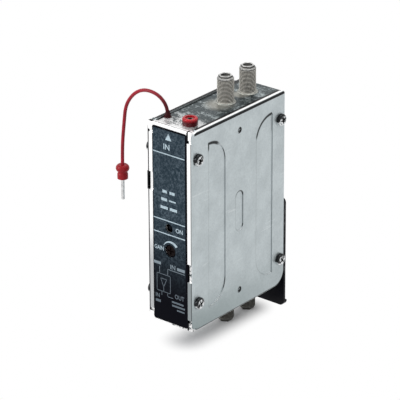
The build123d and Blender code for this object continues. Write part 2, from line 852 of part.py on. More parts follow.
# Plug on the free end: a moulded collar and a round pin
plug_top = lead_route[-1]
plug_plane = Plane(plug_top, x_dir=(1, 0, 0), z_dir=(0, 1, 0))
waist_start = plug_bulge_height
skirt_start = plug_bulge_height + plug_waist_height
with BuildPart() as lead_plug_collar:
    with BuildSketch(plug_plane):
        with BuildLine():
            shoulder = Polyline((0, 0), (plug_shoulder_radius, 0))
            bulge = ThreePointArc(
                shoulder @ 1,
                (plug_bulge_radius, plug_bulge_height / 2),
                (plug_waist_radius, waist_start),
            )
            Polyline(
                bulge @ 1,
                (plug_waist_radius, skirt_start),
                (plug_skirt_radius, skirt_start + plug_edge_rounding),
                (plug_skirt_radius, plug_collar_length),
                (pin_root_radius + pin_root_gap, plug_collar_length),
                (pin_root_radius + pin_root_gap, plug_collar_length - pin_root_depth),
                (0, plug_collar_length - pin_root_depth),
                (0, 0),
            )
        make_face()
    revolve(axis=Axis(plug_top, (0, 0, -1)))
lead_plug_collar.part.label = "lead_plug_collar"
export_step(lead_plug_collar.part, "parts/lead_plug_collar.step")

pin_seat = Plane((plug_top.X, plug_top.Y, plug_top.Z - plug_collar_length))
with BuildPart() as lead_plug_pin:
    with BuildSketch(pin_seat):
        Circle(plug_pin_radius)
    extrude(amount=-plug_pin_length)
    fillet(lead_plug_pin.edges().group_by(Axis.Z)[0], radius=plug_pin_radius * pin_tip_share)
    with BuildSketch(pin_seat):
        Circle(pin_root_radius)
    extrude(amount=pin_root_depth)
lead_plug_pin.part.label = "lead_plug_pin"
export_step(lead_plug_pin.part, "parts/lead_plug_pin.step")

# Indicator lamp behind its window, with two legs laid on the board
lamp_tip = label_face + lamp_recess
lamp_base = lamp_tip + lamp_length
with BuildPart() as lamp_lens:
    with BuildSketch(front_plane(lamp_base)):
        with Locations((lamp_x, lamp_z)):
            Circle(lamp_rim_radius)
    extrude(amount=lamp_rim_height)
    with BuildSketch(front_plane(lamp_base)):
        with Locations((lamp_x, lamp_z)):
            Circle(lamp_radius)
    extrude(amount=lamp_length - lamp_radius)
    with Locations((lamp_x, lamp_tip + lamp_radius, lamp_z)):
        Sphere(lamp_radius)
lamp_lens.part.label = "lamp_lens"
export_step(lamp_lens.part, "parts/lamp_lens.step")

with BuildPart() as lamp_legs:
    for offset_z in (-lamp_leg_spacing / 2, lamp_leg_spacing / 2):
        with Locations((board_face, lamp_base, lamp_z + offset_z)):
            Box(
                lamp_leg_width,
                board_front + lamp_leg_lap - lamp_base,
                lamp_leg_width,
                align=(Align.MIN, Align.MIN, Align.CENTER),
            )
lamp_legs.part.label = "lamp_legs"
export_step(lamp_legs.part, "parts/lamp_legs.step")

# Gain control: a fixed body behind the window, legs on the board, and a slotted rotor
with BuildPart() as gain_control_body:
    with Locations((gain_x, pot_front, gain_z)):
        Box(pot_side, pot_depth, pot_side, align=(Align.CENTER, Align.MIN, Align.CENTER))
    with BuildSketch(front_plane(pot_front)):
        with Locations((gain_x, gain_z)):
            Circle(rotor_journal_radius + rotor_gap)
    extrude(amount=-(rotor_journal_length + rotor_end_gap), mode=Mode.SUBTRACT)
gain_control_body.part.label = "gain_control_body"
export_step(gain_control_body.part, "parts/gain_control_body.step")

with BuildPart() as gain_control_legs:
    for step in (-1, 0, 1):
        with Locations((board_face, pot_back, gain_z + step * pot_leg_spacing)):
            Box(
                pot_leg_sheet,
                board_front + pot_leg_lap - pot_back,
                pot_leg_width,
                align=(Align.MIN, Align.MIN, Align.CENTER),
            )
gain_control_legs.part.label = "gain_control_legs"
export_step(gain_control_legs.part, "parts/gain_control_legs.step")

rotor_face = label_face + rotor_recess
with BuildPart() as gain_rotor:
    with BuildSketch(front_plane(rotor_face)):
        with Locations((gain_x, gain_z)):
            Circle(rotor_head_radius)
    extrude(amount=-(pot_front - rotor_gap - rotor_face))
    with BuildSketch(front_plane(rotor_face)):
        with Locations((gain_x, gain_z)):
            Circle(rotor_journal_radius)
    extrude(amount=-(pot_front - rotor_face + rotor_journal_length))
    with BuildSketch(front_plane(rotor_face)):
        with Locations((gain_x, gain_z)):
            Rectangle(rotor_slot_length, rotor_slot_width)
            Rectangle(rotor_slot_width, rotor_slot_length)
    extrude(amount=-rotor_slot_depth, mode=Mode.SUBTRACT)
gain_rotor.part.label = "gain_rotor"
export_step(gain_rotor.part, "parts/gain_rotor.step")

# Shield wall between the two signal bands, standing on the board
shield_rise = plate_inside - press_depth - shield_cover_gap - board_face
shield_z = on_board(0, shield_height_share)[2]
with BuildPart() as shield_wall:
    with Locations((board_face, board_front + shield_end_gap, shield_z)):
        Box(
            shield_rise,
            board_length - 2 * shield_end_gap,
            shield_sheet,
            align=(Align.MIN, Align.MIN, Align.CENTER),
        )
shield_wall.part.label = "shield_wall"
export_step(shield_wall.part, "parts/shield_wall.step")

# Supply capacitors: upright cans
with BuildPart() as supply_capacitors:
    for height_share in capacitor_height_shares:
        with BuildSketch(Plane(on_board(capacitor_length_share, height_share), z_dir=(1, 0, 0))):
            Circle(capacitor_radius)
    extrude(amount=capacitor_rise)
    fillet(supply_capacitors.edges().group_by(Axis.X)[-1], radius=capacitor_rounding)
supply_capacitors.part.label = "supply_capacitors"
export_step(supply_capacitors.part, "parts/supply_capacitors.step")

# Amplifier chips: one row, two in each band
with BuildPart() as amplifier_chips:
    for height_share in band_height_shares:
        with Locations(on_board(chip_length_share, height_share)):
            Box(chip_rise, chip_width, chip_length, align=(Align.MIN, Align.CENTER, Align.CENTER))
amplifier_chips.part.label = "amplifier_chips"
export_step(amplifier_chips.part, "parts/amplifier_chips.step")

# Filter cores: small ferrite rings laid on the board
with BuildPart() as filter_cores:
    for height_share in band_height_shares:
        with BuildSketch(Plane(on_board(core_length_share, height_share), z_dir=(1, 0, 0))):
            Circle(core_radius)
            Circle(core_bore_radius, mode=Mode.SUBTRACT)
    extrude(amount=core_rise)
filter_cores.part.label = "filter_cores"
export_step(filter_cores.part, "parts/filter_cores.step")

# Chip capacitors: two small fields, one in each band
with BuildPart() as chip_capacitors:
    for height_share in small_part_height_shares:
        field_centre = on_board(small_part_length_share, height_share)
        with Locations(Plane(field_centre, x_dir=(0, 1, 0), z_dir=(1, 0, 0))):
            with GridLocations(small_part_pitch_y, small_part_pitch_z, 2, 3):
                Box(
                    small_part_length,
                    small_part_width,
                    small_part_rise,
                    align=(Align.CENTER, Align.CENTER, Align.MIN),
                )
chip_capacitors.part.label = "chip_capacitors"
export_step(chip_capacitors.part, "parts/chip_capacitors.step")

# Voltage regulator lying on the board with its holed metal tab
regulator_place = on_board(regulator_length_share, regulator_height_share)
with BuildPart() as voltage_regulator:
    with Locations(regulator_place):
        Box(
            regulator_body_rise,
            regulator_body_width,
            regulator_body_length,
            align=(Align.MIN, Align.CENTER, Align.MAX),
        )
voltage_regulator.part.label = "voltage_regulator"
export_step(voltage_regulator.part, "parts/voltage_regulator.step")

with BuildPart() as regulator_tab:
    with Locations(regulator_place):
        Box(
            regulator_tab_rise,
            regulator_body_width,
            regulator_tab_length,
            align=(Align.MIN, Align.CENTER, Align.MIN),
        )
    tab_hole_centre = Vector(regulator_place) + Vector(0, 0, regulator_tab_length / 2)
    with BuildSketch(Plane(tab_hole_centre, z_dir=(1, 0, 0))):
        Circle(regulator_hole_radius)
    extrude(amount=regulator_tab_rise, mode=Mode.SUBTRACT)
regulator_tab.part.label = "regulator_tab"
export_step(regulator_tab.part, "parts/regulator_tab.step")
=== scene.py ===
from math import cos, pi, radians, sin

import bpy
import numpy as np
from bpy.props import FloatProperty, FloatVectorProperty, PointerProperty
from bpy.types import Operator, Panel, PropertyGroup
from mathutils import Matrix, Vector


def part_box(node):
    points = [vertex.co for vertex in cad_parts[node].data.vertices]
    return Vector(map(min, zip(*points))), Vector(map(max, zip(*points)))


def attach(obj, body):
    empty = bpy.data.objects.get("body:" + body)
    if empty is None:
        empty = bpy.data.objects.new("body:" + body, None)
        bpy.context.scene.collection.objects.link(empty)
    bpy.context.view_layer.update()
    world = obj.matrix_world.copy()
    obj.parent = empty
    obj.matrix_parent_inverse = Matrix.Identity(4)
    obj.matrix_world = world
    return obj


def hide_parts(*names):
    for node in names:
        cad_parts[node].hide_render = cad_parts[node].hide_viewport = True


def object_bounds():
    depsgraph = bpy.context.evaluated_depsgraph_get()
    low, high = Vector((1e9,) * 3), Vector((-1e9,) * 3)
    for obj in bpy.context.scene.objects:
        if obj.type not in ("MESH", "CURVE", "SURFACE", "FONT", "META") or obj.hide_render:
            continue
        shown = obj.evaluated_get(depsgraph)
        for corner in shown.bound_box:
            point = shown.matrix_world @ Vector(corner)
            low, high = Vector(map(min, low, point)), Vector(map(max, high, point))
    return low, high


bl_info = {
    "name": "Television signal amplifier",
    "version": (1, 0, 0),
    "blender": (4, 5, 0),
    "location": "View3D > Sidebar > Amplifier",
    "description": "Dresses the packed frame of an upright sheet-metal signal amplifier",
    "category": "Object",
}

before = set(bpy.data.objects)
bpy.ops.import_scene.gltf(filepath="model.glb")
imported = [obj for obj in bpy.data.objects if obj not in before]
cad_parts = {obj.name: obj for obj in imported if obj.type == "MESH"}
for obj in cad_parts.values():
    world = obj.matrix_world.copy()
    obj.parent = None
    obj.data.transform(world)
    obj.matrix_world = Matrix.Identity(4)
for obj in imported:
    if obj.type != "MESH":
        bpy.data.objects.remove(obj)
cad_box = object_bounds()

MM = 0.001
FIXED_BODY = "amplifier"
SOCKET_PLACES = ("top_front", "top_rear", "low_front", "low_rear")
AXIS_NAMES = "XYZ"
WHITE = (1.0, 1.0, 1.0)

# Ranges for the finishes: a step that falls, the values that noise mostly keeps to, and a steeper part
FALLING = (1.0, 0.0)
CLOUDY = (0.3, 0.7)
STEEP = (0.35, 0.65)

# Fineness of the meshes, and the angles above which their edges stay sharp
SOCKET_COLUMNS = 96
ROWS_PER_PITCH = 12
RELIEF_COLUMNS = 48
RELIEF_ROWS = 17
WEDGE_STEPS = 33
SOCKET_SHARP_ANGLE = radians(28)
RELIEF_SHARP_ANGLE = radians(40)

# Route of the supply lead as steps from its exit, in metres
LEAD_STEPS = (
    (0.0, 0.0, 0.0),
    (0.0, 0.0, 0.0046),
    (-0.0048, -0.0003, 0.0101),
    (-0.0114, -0.0008, 0.0120),
    (-0.0178, -0.0013, 0.0111),
    (-0.0236, -0.0019, 0.0070),
    (-0.0284, -0.0022, -0.0006),
    (-0.0294, -0.0025, -0.0102),
    (-0.0312, -0.0024, -0.0254),
    (-0.0312, -0.0024, -0.0368),
)

# Print on the label, in millimetres: word, centre x, centre z, width, height
WORDS = (
    ("IN", -2.3, 114.8, 4.3, 3.3),
    ("ON", 6.3, 66.5, 5.0, 2.7),
    ("GAIN", -8.2, 53.0, 6.6, 2.6),
    ("IN", 1.5, 43.3, 3.6, 2.7),
    ("IN", -9.6, 23.3, 2.8, 2.5),
    ("OUT", 6.2, 25.9, 6.8, 2.8),
)

# Plain bars on the label, in millimetres: centre x, centre z, width, height
BARS = (
    (-3.9, 87.9, 3.2, 1.7),
    (1.4, 87.9, 3.6, 1.7),
    (-4.3, 83.1, 4.2, 1.7),
    (1.6, 83.1, 4.6, 0.9),
    (-4.3, 78.2, 5.2, 1.7),
    (2.3, 78.2, 5.2, 1.7),
    (-9.6, 43.4, 5.0, 1.7),
    (7.3, 43.1, 5.6, 1.8),
    (4.3, 41.1, 11.4, 0.4),
    (-9.2, 20.0, 3.6, 1.6),
    (4.9, 22.0, 8.4, 1.1),
    (5.4, 19.8, 9.2, 1.1),
    (7.0, 17.6, 5.4, 0.9),
)

# Heights of the lines across the label, and x and z of the upper arrow's corners, in millimetres
LINE_HEIGHTS = (110.5, 70.7, 62.5)
ARROW_CORNERS = ((-3.1, 118.9), (1.3, 118.9), (-0.9, 123.0))

# Block symbol: strokes as runs of points, x and z in millimetres
SYMBOL_STROKES = (
    ((-10.0, 26.5), (-0.4, 26.5), (-0.4, 37.1), (-10.0, 37.1), (-10.0, 26.5)),
    ((-7.4, 34.4), (-3.0, 34.4), (-5.2, 29.4), (-7.4, 34.4)),
    ((-5.2, 29.4), (-5.2, 26.5)),
    ((-8.0, 37.1), (-8.0, 41.3)),
    ((-2.2, 37.1), (-2.2, 41.3), (-0.6, 41.3)),
    ((-6.6, 26.5), (-6.6, 24.2)),
    ((-2.4, 26.5), (-2.4, 24.2), (1.4, 24.2)),
)


def length(name, description, millimetres):
    """A size property, written in millimetres and kept in metres."""
    return FloatProperty(name=name, description=description, default=millimetres * MM, unit="LENGTH")


def turn(name, description, degrees):
    """An angle property, written in degrees and kept in radians."""
    return FloatProperty(name=name, description=description, default=radians(degrees), unit="ROTATION")


def place(name, description, default):
    """A point property, in metres."""
    return FloatVectorProperty(
        name=name, description=description, default=default, subtype="TRANSLATION", unit="LENGTH"
    )


def power(name, description, default):
    """A lamp power property, in watts."""
    return FloatProperty(name=name, description=description, default=default, unit="POWER")


def colour(name, description, default):
    """A colour property."""
    return FloatVectorProperty(
        name=name, description=description, default=default, subtype="COLOR", min=0.0, max=1.0
    )


class StageSettings(PropertyGroup):
    """Camera, lamps and floor."""

    lens: FloatProperty(name="Lens", description="Focal length in millimetres", default=258.3)
    camera_place: place("Camera place", "Where the camera stands", (0.9226, -1.1846, 0.7269))
    azimuth: turn("Azimuth", "Turn of the view to the right of the label", 39.31)
    elevation: turn("Elevation", "Height of the view above the horizon", 24.12)
    roll: turn("Roll", "Turn of the picture about the line of sight", 0.243)
    near_clip: length("Near clip", "Nearest distance that the camera sees", 50.0)
    far_clip: length("Far clip", "Farthest distance that the camera sees", 20000.0)
    key_place: place("Key place", "Where the large lamp at the front left stands", (-1.1, -1.6, 1.0))
    key_width: length("Key width", "Side of the large lamp", 1100.0)
    key_power: power("Key power", "Power of the large lamp", 26.0)
    top_place: place("Top place", "Where the lamp overhead hangs", (0.25, 0.2, 1.7))
    top_width: length("Top width", "Side of the lamp overhead", 800.0)
    top_power: power("Top power", "Power of the lamp overhead", 9.0)
    world_level: FloatProperty(
        name="World level", description="Strength of the light from all round", default=0.62
    )
    floor_reach: length("Floor reach", "Half the side of the floor", 5000.0)
    # Painted shadow on the floor under the case
    shadow_inset: length("Shadow inset", "Distance inside the case's outline where the shadow fades", 15.0)
    shadow_reach: length("Shadow reach", "Distance over which the shadow fades away", 18.0)
    shadow_colour: colour("Shadow colour", "Colour of the floor seen under the case", (0.72, 0.72, 0.73))
    floor_colour: colour("Floor colour", "Colour of the floor", (0.86, 0.87, 0.88))
    dust_colour: colour("Dust colour", "Colour of the dust on the floor", (0.80, 0.81, 0.82))
    dust_size: length("Dust size", "Size of the dusty places on the floor", 20.0)


class LeadSettings(PropertyGroup):
    """Supply lead and its plug."""

    diameter: length("Diameter", "Outer diameter of the lead", 2.0)
    lead_length: length("Length", "Length of the free lead from the grommet to the plug", 77.0)
    relief_height: length("Relief height", "Height of the tapered strain relief above the grommet", 2.9)
    relief_base: length("Relief base", "Radius of the strain relief at the grommet", 1.8)
    relief_tip: length("Relief tip", "Radius of the strain relief at its tip", 1.12)
    relief_bore: length("Relief bore", "Radius of the strain relief's bore, which grips the lead", 0.94)
    sheath_colour: colour("Sheath colour", "Colour of the lead", (0.31, 0.012, 0.025))
    # Also the colour of the painted shade on the lead near its exit
    relief_colour_and_lead_shade: colour("Relief colour", "Colour of the strain relief", (0.035, 0.001, 0.003))
    plug_colour: colour("Plug colour", "Colour of the plug's collar", (0.31, 0.007, 0.013))


class SocketSettings(PropertyGroup):
    """Coaxial sockets: all heights are from the chassis outward."""

    reach: length("Reach", "Height of the socket above the chassis", 16.1)
    thread_radius: length("Thread radius", "Outer radius of the thread", 4.7625)
    thread_depth: length("Thread depth", "Depth of the thread", 0.46)
    thread_start: length("Thread start", "Height where the thread begins", 0.7)
    thread_pitch: length("Thread pitch", "Distance from one ridge to the next", 0.794)
    crest: length("Crest", "Flat width of a ridge", 0.12)
    flank: length("Flank", "Height over which a ridge falls to its root", 0.25)
    neck_radius: length("Neck radius", "Radius above the thread", 4.5)
    shoulder_height: length("Shoulder height", "Height from the thread to the nose", 0.7)
    nose_flats: length("Nose flats", "Width of the hexagonal nose across its flats", 7.0)
    nose_height: length("Nose height", "Height of the hexagonal nose", 1.1)
    nose_bevel: length("Nose bevel", "Bevel round the nose", 0.25)
    mouth_radius: length("Mouth radius", "Radius of the mouth in the nose", 2.6)
    mouth_depth: length("Mouth depth", "Depth of the mouth", 1.5)
    bore_radius: length("Bore radius", "Radius of the bore behind the mouth", 3.3)
    flange_radius: length("Flange radius", "Radius of the flange inside the case", 5.6025)
    flange_height: length("Flange height", "Height of the flange inside the case", 2.5)
    sheet: length("Sheet", "Thickness of the chassis", 0.8)
    # Painted highlight on the ridges, and painted shade in the grooves and on the flanks
    crest_highlight: colour("Crest colour", "Colour of the ridges", (0.84, 0.82, 0.75))
    groove_and_flank_shade: colour("Groove colour", "Colour down in the thread", (0.010, 0.010, 0.009))
    neck_colour: colour("Neck colour", "Colour of the neck above the thread", (0.56, 0.56, 0.54))
    neck_shade: colour("Neck shade", "Colour of the neck's tarnished places", (0.24, 0.24, 0.235))
    nose_colour: colour("Nose colour", "Colour of the nose's end face", (0.68, 0.68, 0.67))
    nose_shade: colour("Nose shade", "Colour of the end face's tarnished places", (0.34, 0.34, 0.33))
    # Painted dark reflection on the facets
    bevel_dark_reflection: colour("Bevel colour", "Colour of the facets under the end face", (0.02, 0.021, 0.022))
    stain_colour: colour("Stain colour", "Colour of the brown stains", (0.17, 0.14, 0.11))
    # Painted shade on the sockets below the case
    low_socket_shade: colour("Low colour", "Colour that dulls the sockets below the case", (0.03, 0.028, 0.024))


class CaseSettings(PropertyGroup):
    """Covers, chassis, bracket and fasteners."""

    panel_front: length("Panel front", "Middle of the front pressing, from the cover's front", 21.45)
    panel_back: length("Panel back", "Middle of the back pressing, from the cover's back", 18.8)
    panel_end: length("Panel end", "Distance of a long pressing's ends from the cover's ends", 10.75)
    panel_width: length("Panel width", "Width of a long pressing", 14.6)
    panel_corner: length("Panel corner", "Radius of a long pressing's two wide corners", 13.6)
    middle_width: length("Middle width", "Width of the short pressing in the middle", 6.5)
    middle_height: length("Middle height", "Height of the short pressing in the middle", 24.0)
    dimple_end: length("Dimple end", "Distance of a dimple from the cover's end", 11.3)
    # The dark mark round a dimple is a painted shadow, and the dark lines round the pressings are painted
    # shade
    dimple_radius: length("Dimple radius", "Radius of the dark mark round a dimple", 1.75)
    crease: length("Crease", "Width of the dark line round a pressing", 0.55)
    black_front: length("Black front", "Height where the front pressing's outline begins to blacken", 110.3)
    black_back: length("Black back", "Height where the back pressing's outline begins to blacken", 103.5)
    # Height below which the covers take on painted shade
    low_shade_height: length("Dull height", "Height below which the covers grow dull", 36.0)
    flange_width: length("Flange width", "Width of a cover's top and bottom flanges", 3.0)
    # Painted shade lines: beside the covers' flanges, and at the chassis' front bend
    gap_width: length("Gap width", "Width of the dark line beside a flange", 1.0)
    bend_line: length("Bend line", "Distance of the marked bend line from the chassis front", 1.15)
    notch_low: length("Notch low", "Height of the notch's lower end on the right cover's front", 37.5)
    cover_colour: colour("Cover colour", "Colour of the covers", (0.565, 0.62, 0.635))
    cover_shade: colour("Cover shade", "Colour of the cloudy places on the covers", (0.48, 0.53, 0.545))
    # Colour of the painted shade low on the covers
    cover_low_shade: colour("Cover dull", "Colour of the covers near their lower edge", (0.27, 0.32, 0.325))
    speckle_colour: colour("Speckle colour", "Colour of the speckles on the covers", (0.36, 0.40, 0.42))
    scratch_colour: colour("Scratch colour", "Colour of the scratches on the covers", (0.80, 0.83, 0.84))
    # Painted shade on the flanges, painted highlight on flanges and lips, and the black used for painted
    # shade and dark reflections
    lip_notch_shade: colour("Lip grey", "Colour of the right flange under its notch", (0.27, 0.30, 0.31))
    lip_low_shade: colour("Lip dull", "Colour of the left flange low down", (0.46, 0.47, 0.48))
    painted_highlight_white: colour("Edge bright", "Colour of the bright flanges and lips", (0.97, 0.97, 0.97))
    painted_shade_black: colour("Edge black", "Colour of the black lines at edges and bends", (0.006, 0.007, 0.008))
    sheet_light: colour("Sheet light", "Bright places of the chassis sheet", (0.42, 0.47, 0.48))
    sheet_spangle: colour("Sheet spangle", "Spangles of the chassis sheet", (0.24, 0.28, 0.29))
    sheet_dark: colour("Sheet dark", "Dull places of the chassis sheet", (0.035, 0.05, 0.055))
    sheet_pale: colour("Sheet pale", "Pale sheet at the front end of the chassis", (0.80, 0.80, 0.80))
    sheet_warm: colour("Sheet warm", "Sheet round the sockets", (0.42, 0.41, 0.365))
    zinc_colour: colour("Zinc colour", "Colour of the screws", (0.86, 0.87, 0.88))
    zinc_shade: colour("Zinc shade", "Colour of the screws' tarnished places", (0.40, 0.43, 0.44))
    coat_colour: colour("Coat colour", "Colour of the bracket", (0.0018, 0.0018, 0.005))
    coat_dust: colour("Coat dust", "Colour of the bracket's dusty places", (0.009, 0.009, 0.012))
    coat_worn: colour("Coat worn", "Colour of the bracket's rubbed borders", (0.10, 0.10, 0.105))


class LabelSettings(PropertyGroup):
    """Label plate and its print."""

    ink_height: length("Ink height", "Height of the print above the plate", 0.03)
    line_width: length("Line width", "Width of the lines across the label", 0.62)
    line_margin: length("Line margin", "Distance from the lines' right-hand ends to the label's edge", 2.1)
    stroke_width: length("Stroke width", "Width of the strokes of the block symbol", 0.36)
    arc_radius: length("Arc radius", "Inner radius of the wedge over the gain control", 5.05)
    arc_thin: length("Arc thin", "Width of the wedge at its thin end", 0.25)
    arc_thick: length("Arc thick", "Width of the wedge at its thick end", 1.7)
    arc_from: turn("Arc from", "Angle of the wedge's thin end", 152.0)
    arc_to: turn("Arc to", "Angle of the wedge's thick end", 38.0)
    top_band: length("Top band", "Height of the black band along the top", 1.5)
    side_band: length("Side band", "Width of the black band along the right-hand side", 1.7)
    left_band: length("Left band", "Width of the black band along the left-hand side", 0.4)
    fade_top: length("Fade top", "Height where the slate begins to darken", 82.0)
    fade_low: length("Fade low", "Height where the slate has turned black", 20.0)
    dim_top: length("Dim top", "Height where the print begins to dim", 60.0)
    dim_low: length("Dim low", "Height where the print is at its dimmest", 34.0)
    ink_colour: colour("Ink colour", "Colour of the print", (0.44, 0.54, 0.60))
    dim_colour: colour("Dim colour", "Colour of the print low on the plate", (0.115, 0.14, 0.165))
    slate_colour: colour("Slate colour", "Colour of the plate at the top", (0.013, 0.025, 0.036))
    grain_colour: colour("Grain colour", "Colour of the pale grain in the slate", (0.085, 0.113, 0.138))
    black_colour: colour("Black colour", "Colour of the plate's foot and bands", (0.0006, 0.0008, 0.003))


class FittingSettings(PropertyGroup):
    """Small fittings and the board's parts."""

    bush_colour: colour("Bush colour", "Colour of the supply socket's bush", (0.50, 0.010, 0.018))
    # Colour of the painted shade low on the bush, and of its darker cloudy places
    bush_shade_and_cloud: colour("Bush shade", "Colour of the bush near the chassis", (0.07, 0.001, 0.004))
    sleeve_colour: colour("Sleeve colour", "Colour of the sleeve in the bush", (0.20, 0.19, 0.18))
    # White insulators darkened to grey as painted shade in the sockets' mouths
    insulator_shaded_colour: colour("Insulator colour", "Colour of the coaxial insulators", (0.33, 0.33, 0.31))
    brass_colour: colour("Brass colour", "Colour of the contacts", (0.72, 0.55, 0.26))
    nickel_colour: colour("Nickel colour", "Colour of bright nickel", (0.74, 0.74, 0.74))
    solder_colour: colour("Solder colour", "Colour of the solder", (0.30, 0.31, 0.29))
    solder_pale: colour("Solder pale", "Colour of the solder's pale lumps", (0.42, 0.42, 0.38))
    lamp_colour: colour("Lamp colour", "Colour of the unlit lamp", (0.0025, 0.0035, 0.006))
    rotor_colour: colour("Rotor colour", "Colour of the gain rotor", (0.006, 0.003, 0.003))
    # Blue body darkened as painted shade in its recess behind the label
    control_shaded_colour: colour("Control colour", "Colour of the gain control's body", (0.0015, 0.003, 0.010))
    board_colour: colour("Board colour", "Colour of the circuit board", (0.012, 0.10, 0.04))
    track_colour: colour("Track colour", "Colour of the board over its tracks", (0.03, 0.20, 0.07))
    pad_colour: colour("Pad colour", "Colour of the board's tinned pads", (0.46, 0.47, 0.46))
    chip_colour: colour("Chip colour", "Colour of moulded chips", (0.012, 0.012, 0.013))
    ceramic_colour: colour("Ceramic colour", "Colour of ceramic chips", (0.42, 0.28, 0.16))
    ferrite_colour: colour("Ferrite colour", "Colour of ferrite", (0.03, 0.03, 0.032))
    can_colour: colour("Can colour", "Colour of the sleeved cans", (0.01, 0.02, 0.09))


class Finish:
    """A procedural material, put together step by step on the object's own coordinates."""

    def __init__(self, name, metallic=0.0, specular=0.5, coat=0.0):
        self.material = bpy.data.materials.new(name)
        self.material.use_nodes = True
        self.nodes = self.material.node_tree.nodes
        self.links = self.material.node_tree.links
        self.shader = self.nodes["Principled BSDF"]
        self.shader.inputs["Metallic"].default_value = metallic
        self.shader.inputs["Specular IOR Level"].default_value = specular
        self.shader.inputs["Coat Weight"].default_value = coat
        coordinates = self.node("ShaderNodeTexCoord").outputs
        self.place = coordinates["Object"]
        self.axes = self.node("ShaderNodeSeparateXYZ", {0: self.place}).outputs
        self.facing = self.node("ShaderNodeSeparateXYZ", {0: coordinates["Normal"]}).outputs
        self.normal = None

    def feed(self, socket, value):
        """Links a socket into the input, or sets the input to a number or a colour."""
        if isinstance(value, bpy.types.NodeSocket):
            self.links.new(value, socket)
        elif socket.type == "RGBA":
            socket.default_value = (*tuple(value)[:3], 1.0)
        else:
            socket.default_value = value

    def node(self, kind, inputs=None, **settings):
        """A new node with its settings and inputs."""
        made = self.nodes.new(kind)
        for key, value in settings.items():
            setattr(made, key, value)
        for key, value in (inputs or {}).items():
            self.feed(made.inputs[key], value)
        return made

    def calculate(self, operation, *values):
        """One arithmetic operation, carried through all the values."""
        result = values[0]
        for value in values[1:]:
            result = self.node("ShaderNodeMath", {0: result, 1: value}, operation=operation).outputs[0]
        return result

    def total(self, *values):
        """All values added together."""
        return self.calculate("ADD", *values)

    def minus(self, first, second):
        """The first value less the second."""
        return self.calculate("SUBTRACT", first, second)

    def product(self, *values):
        """All values multiplied together."""
        return self.calculate("MULTIPLY", *values)

    def largest(self, *values):
        """Largest of the values."""
        return self.calculate("MAXIMUM", *values)

    def size_of(self, value):
        """Value without its sign."""
        return self.node("ShaderNodeMath", {0: value}, operation="ABSOLUTE").outputs[0]

    def length_of(self, *steps):
        """Length of a way, given as its steps along the axes: the root of the sum of their squares."""
        squares = self.total(*[self.product(step, step) for step in steps])
        return self.node("ShaderNodeMath", {0: squares}, operation="SQRT").outputs[0]

    def distance_to(self, *places):
        """Distance from a point, given as pairs of an axis name and a coordinate."""
        return self.length_of(*[self.minus(self.axes[axis], coordinate) for axis, coordinate in places])

    def noise(self, size, detail=4.0, rough=0.5, stretch=(1.0, 1.0, 1.0)):
        """Cloudy noise whose features are about the given size in metres, longer where stretch is small."""
        stretched = self.node("ShaderNodeMapping", {"Vector": self.place, "Scale": stretch}).outputs[0]
        inputs = {"Vector": stretched, "Scale": 1.0 / size, "Detail": detail, "Roughness": rough}
        return self.node("ShaderNodeTexNoise", inputs).outputs["Fac"]

    def cells(self, size, feature="F1", distance="EUCLIDEAN"):
        """Distance pattern of scattered cells of about the given size in metres."""
        inputs = {"Vector": self.place, "Scale": 1.0 / size}
        made = self.node("ShaderNodeTexVoronoi", inputs, feature=feature, distance=distance)
        return made.outputs["Distance"]

    def span(self, value, given, wanted=(0.0, 1.0)):
        """Value carried smoothly from the given range to the wanted one, and held at its ends."""
        inputs = {
            "Value": value,
            "From Min": given[0],
            "From Max": given[1],
            "To Min": wanted[0],
            "To Max": wanted[1],
        }
        return self.node("ShaderNodeMapRange", inputs, interpolation_type="SMOOTHSTEP").outputs["Result"]

    def band(self, value, given, soft):
        """1 within the given range and 0 outside it, with soft edges of the given width."""
        low, high = given
        rise = self.span(value, (low - soft, low))
        return self.product(rise, self.span(value, (high, high + soft), FALLING))

    def blend(self, share, first, second):
        """Colour between the first and the second."""
        made = self.node("ShaderNodeMix", data_type="RGBA")
        self.feed(made.inputs[0], share)
        self.feed(made.inputs[6], first)
        self.feed(made.inputs[7], second)
        return made.outputs[2]

    def relief(self, height, depth):
        """Adds a height pattern of the given depth in metres to the surface."""
        inputs = {"Height": height, "Distance": depth}
        if self.normal:
            inputs["Normal"] = self.normal
        self.normal = self.node("ShaderNodeBump", inputs).outputs["Normal"]
        self.feed(self.shader.inputs["Normal"], self.normal)

    def moulded_skin(self):
        """Adds the fine skin of moulded plastic to the surface."""
        skin_size = 0.16 * MM
        skin_depth = 0.012 * MM
        self.relief(self.noise(skin_size, detail=6.0), skin_depth)

    def paint(self, colour_value, rough):
        """Sets the surface's colour and roughness."""
        self.feed(self.shader.inputs["Base Color"], colour_value)
        self.feed(self.shader.inputs["Roughness"], rough)
        return self.material

    def slot_distance(self, centre, width, height):
        """Distance from an upright slot with round ends, seen from the side, and negative inside it.

        It is the length of (y, z past the straight sides), less half the slot's width."""
        across = self.minus(self.axes["Y"], centre[0])
        along = self.size_of(self.minus(self.axes["Z"], centre[1]))
        past = self.largest(self.minus(along, (height - width) / 2), 0.0)
        return self.minus(self.length_of(across, past), width / 2)

    def pressing(self, centre, width, height, corner, way):
        """Distance from a pressing's outline, negative inside it, and distance past its straight side.

        Seen from the side, the wide corners lie at the back where the way is 1, and at the front where it
        is -1. The outline is the larger of two distances: the one past the wide corners' centres, less
        their radius, and the one past the straight side on the other hand."""
        across = self.product(self.minus(self.axes["Y"], centre[0]), way)
        along = self.size_of(self.minus(self.axes["Z"], centre[1]))
        past_side = self.largest(self.total(across, corner - width / 2), 0.0)
        past_end = self.largest(self.total(along, corner - height / 2), 0.0)
        rounded = self.minus(self.length_of(past_side, past_end), corner)
        inside = self.total(across, width / 2)
        return self.largest(rounded, self.minus(0.0, inside)), inside

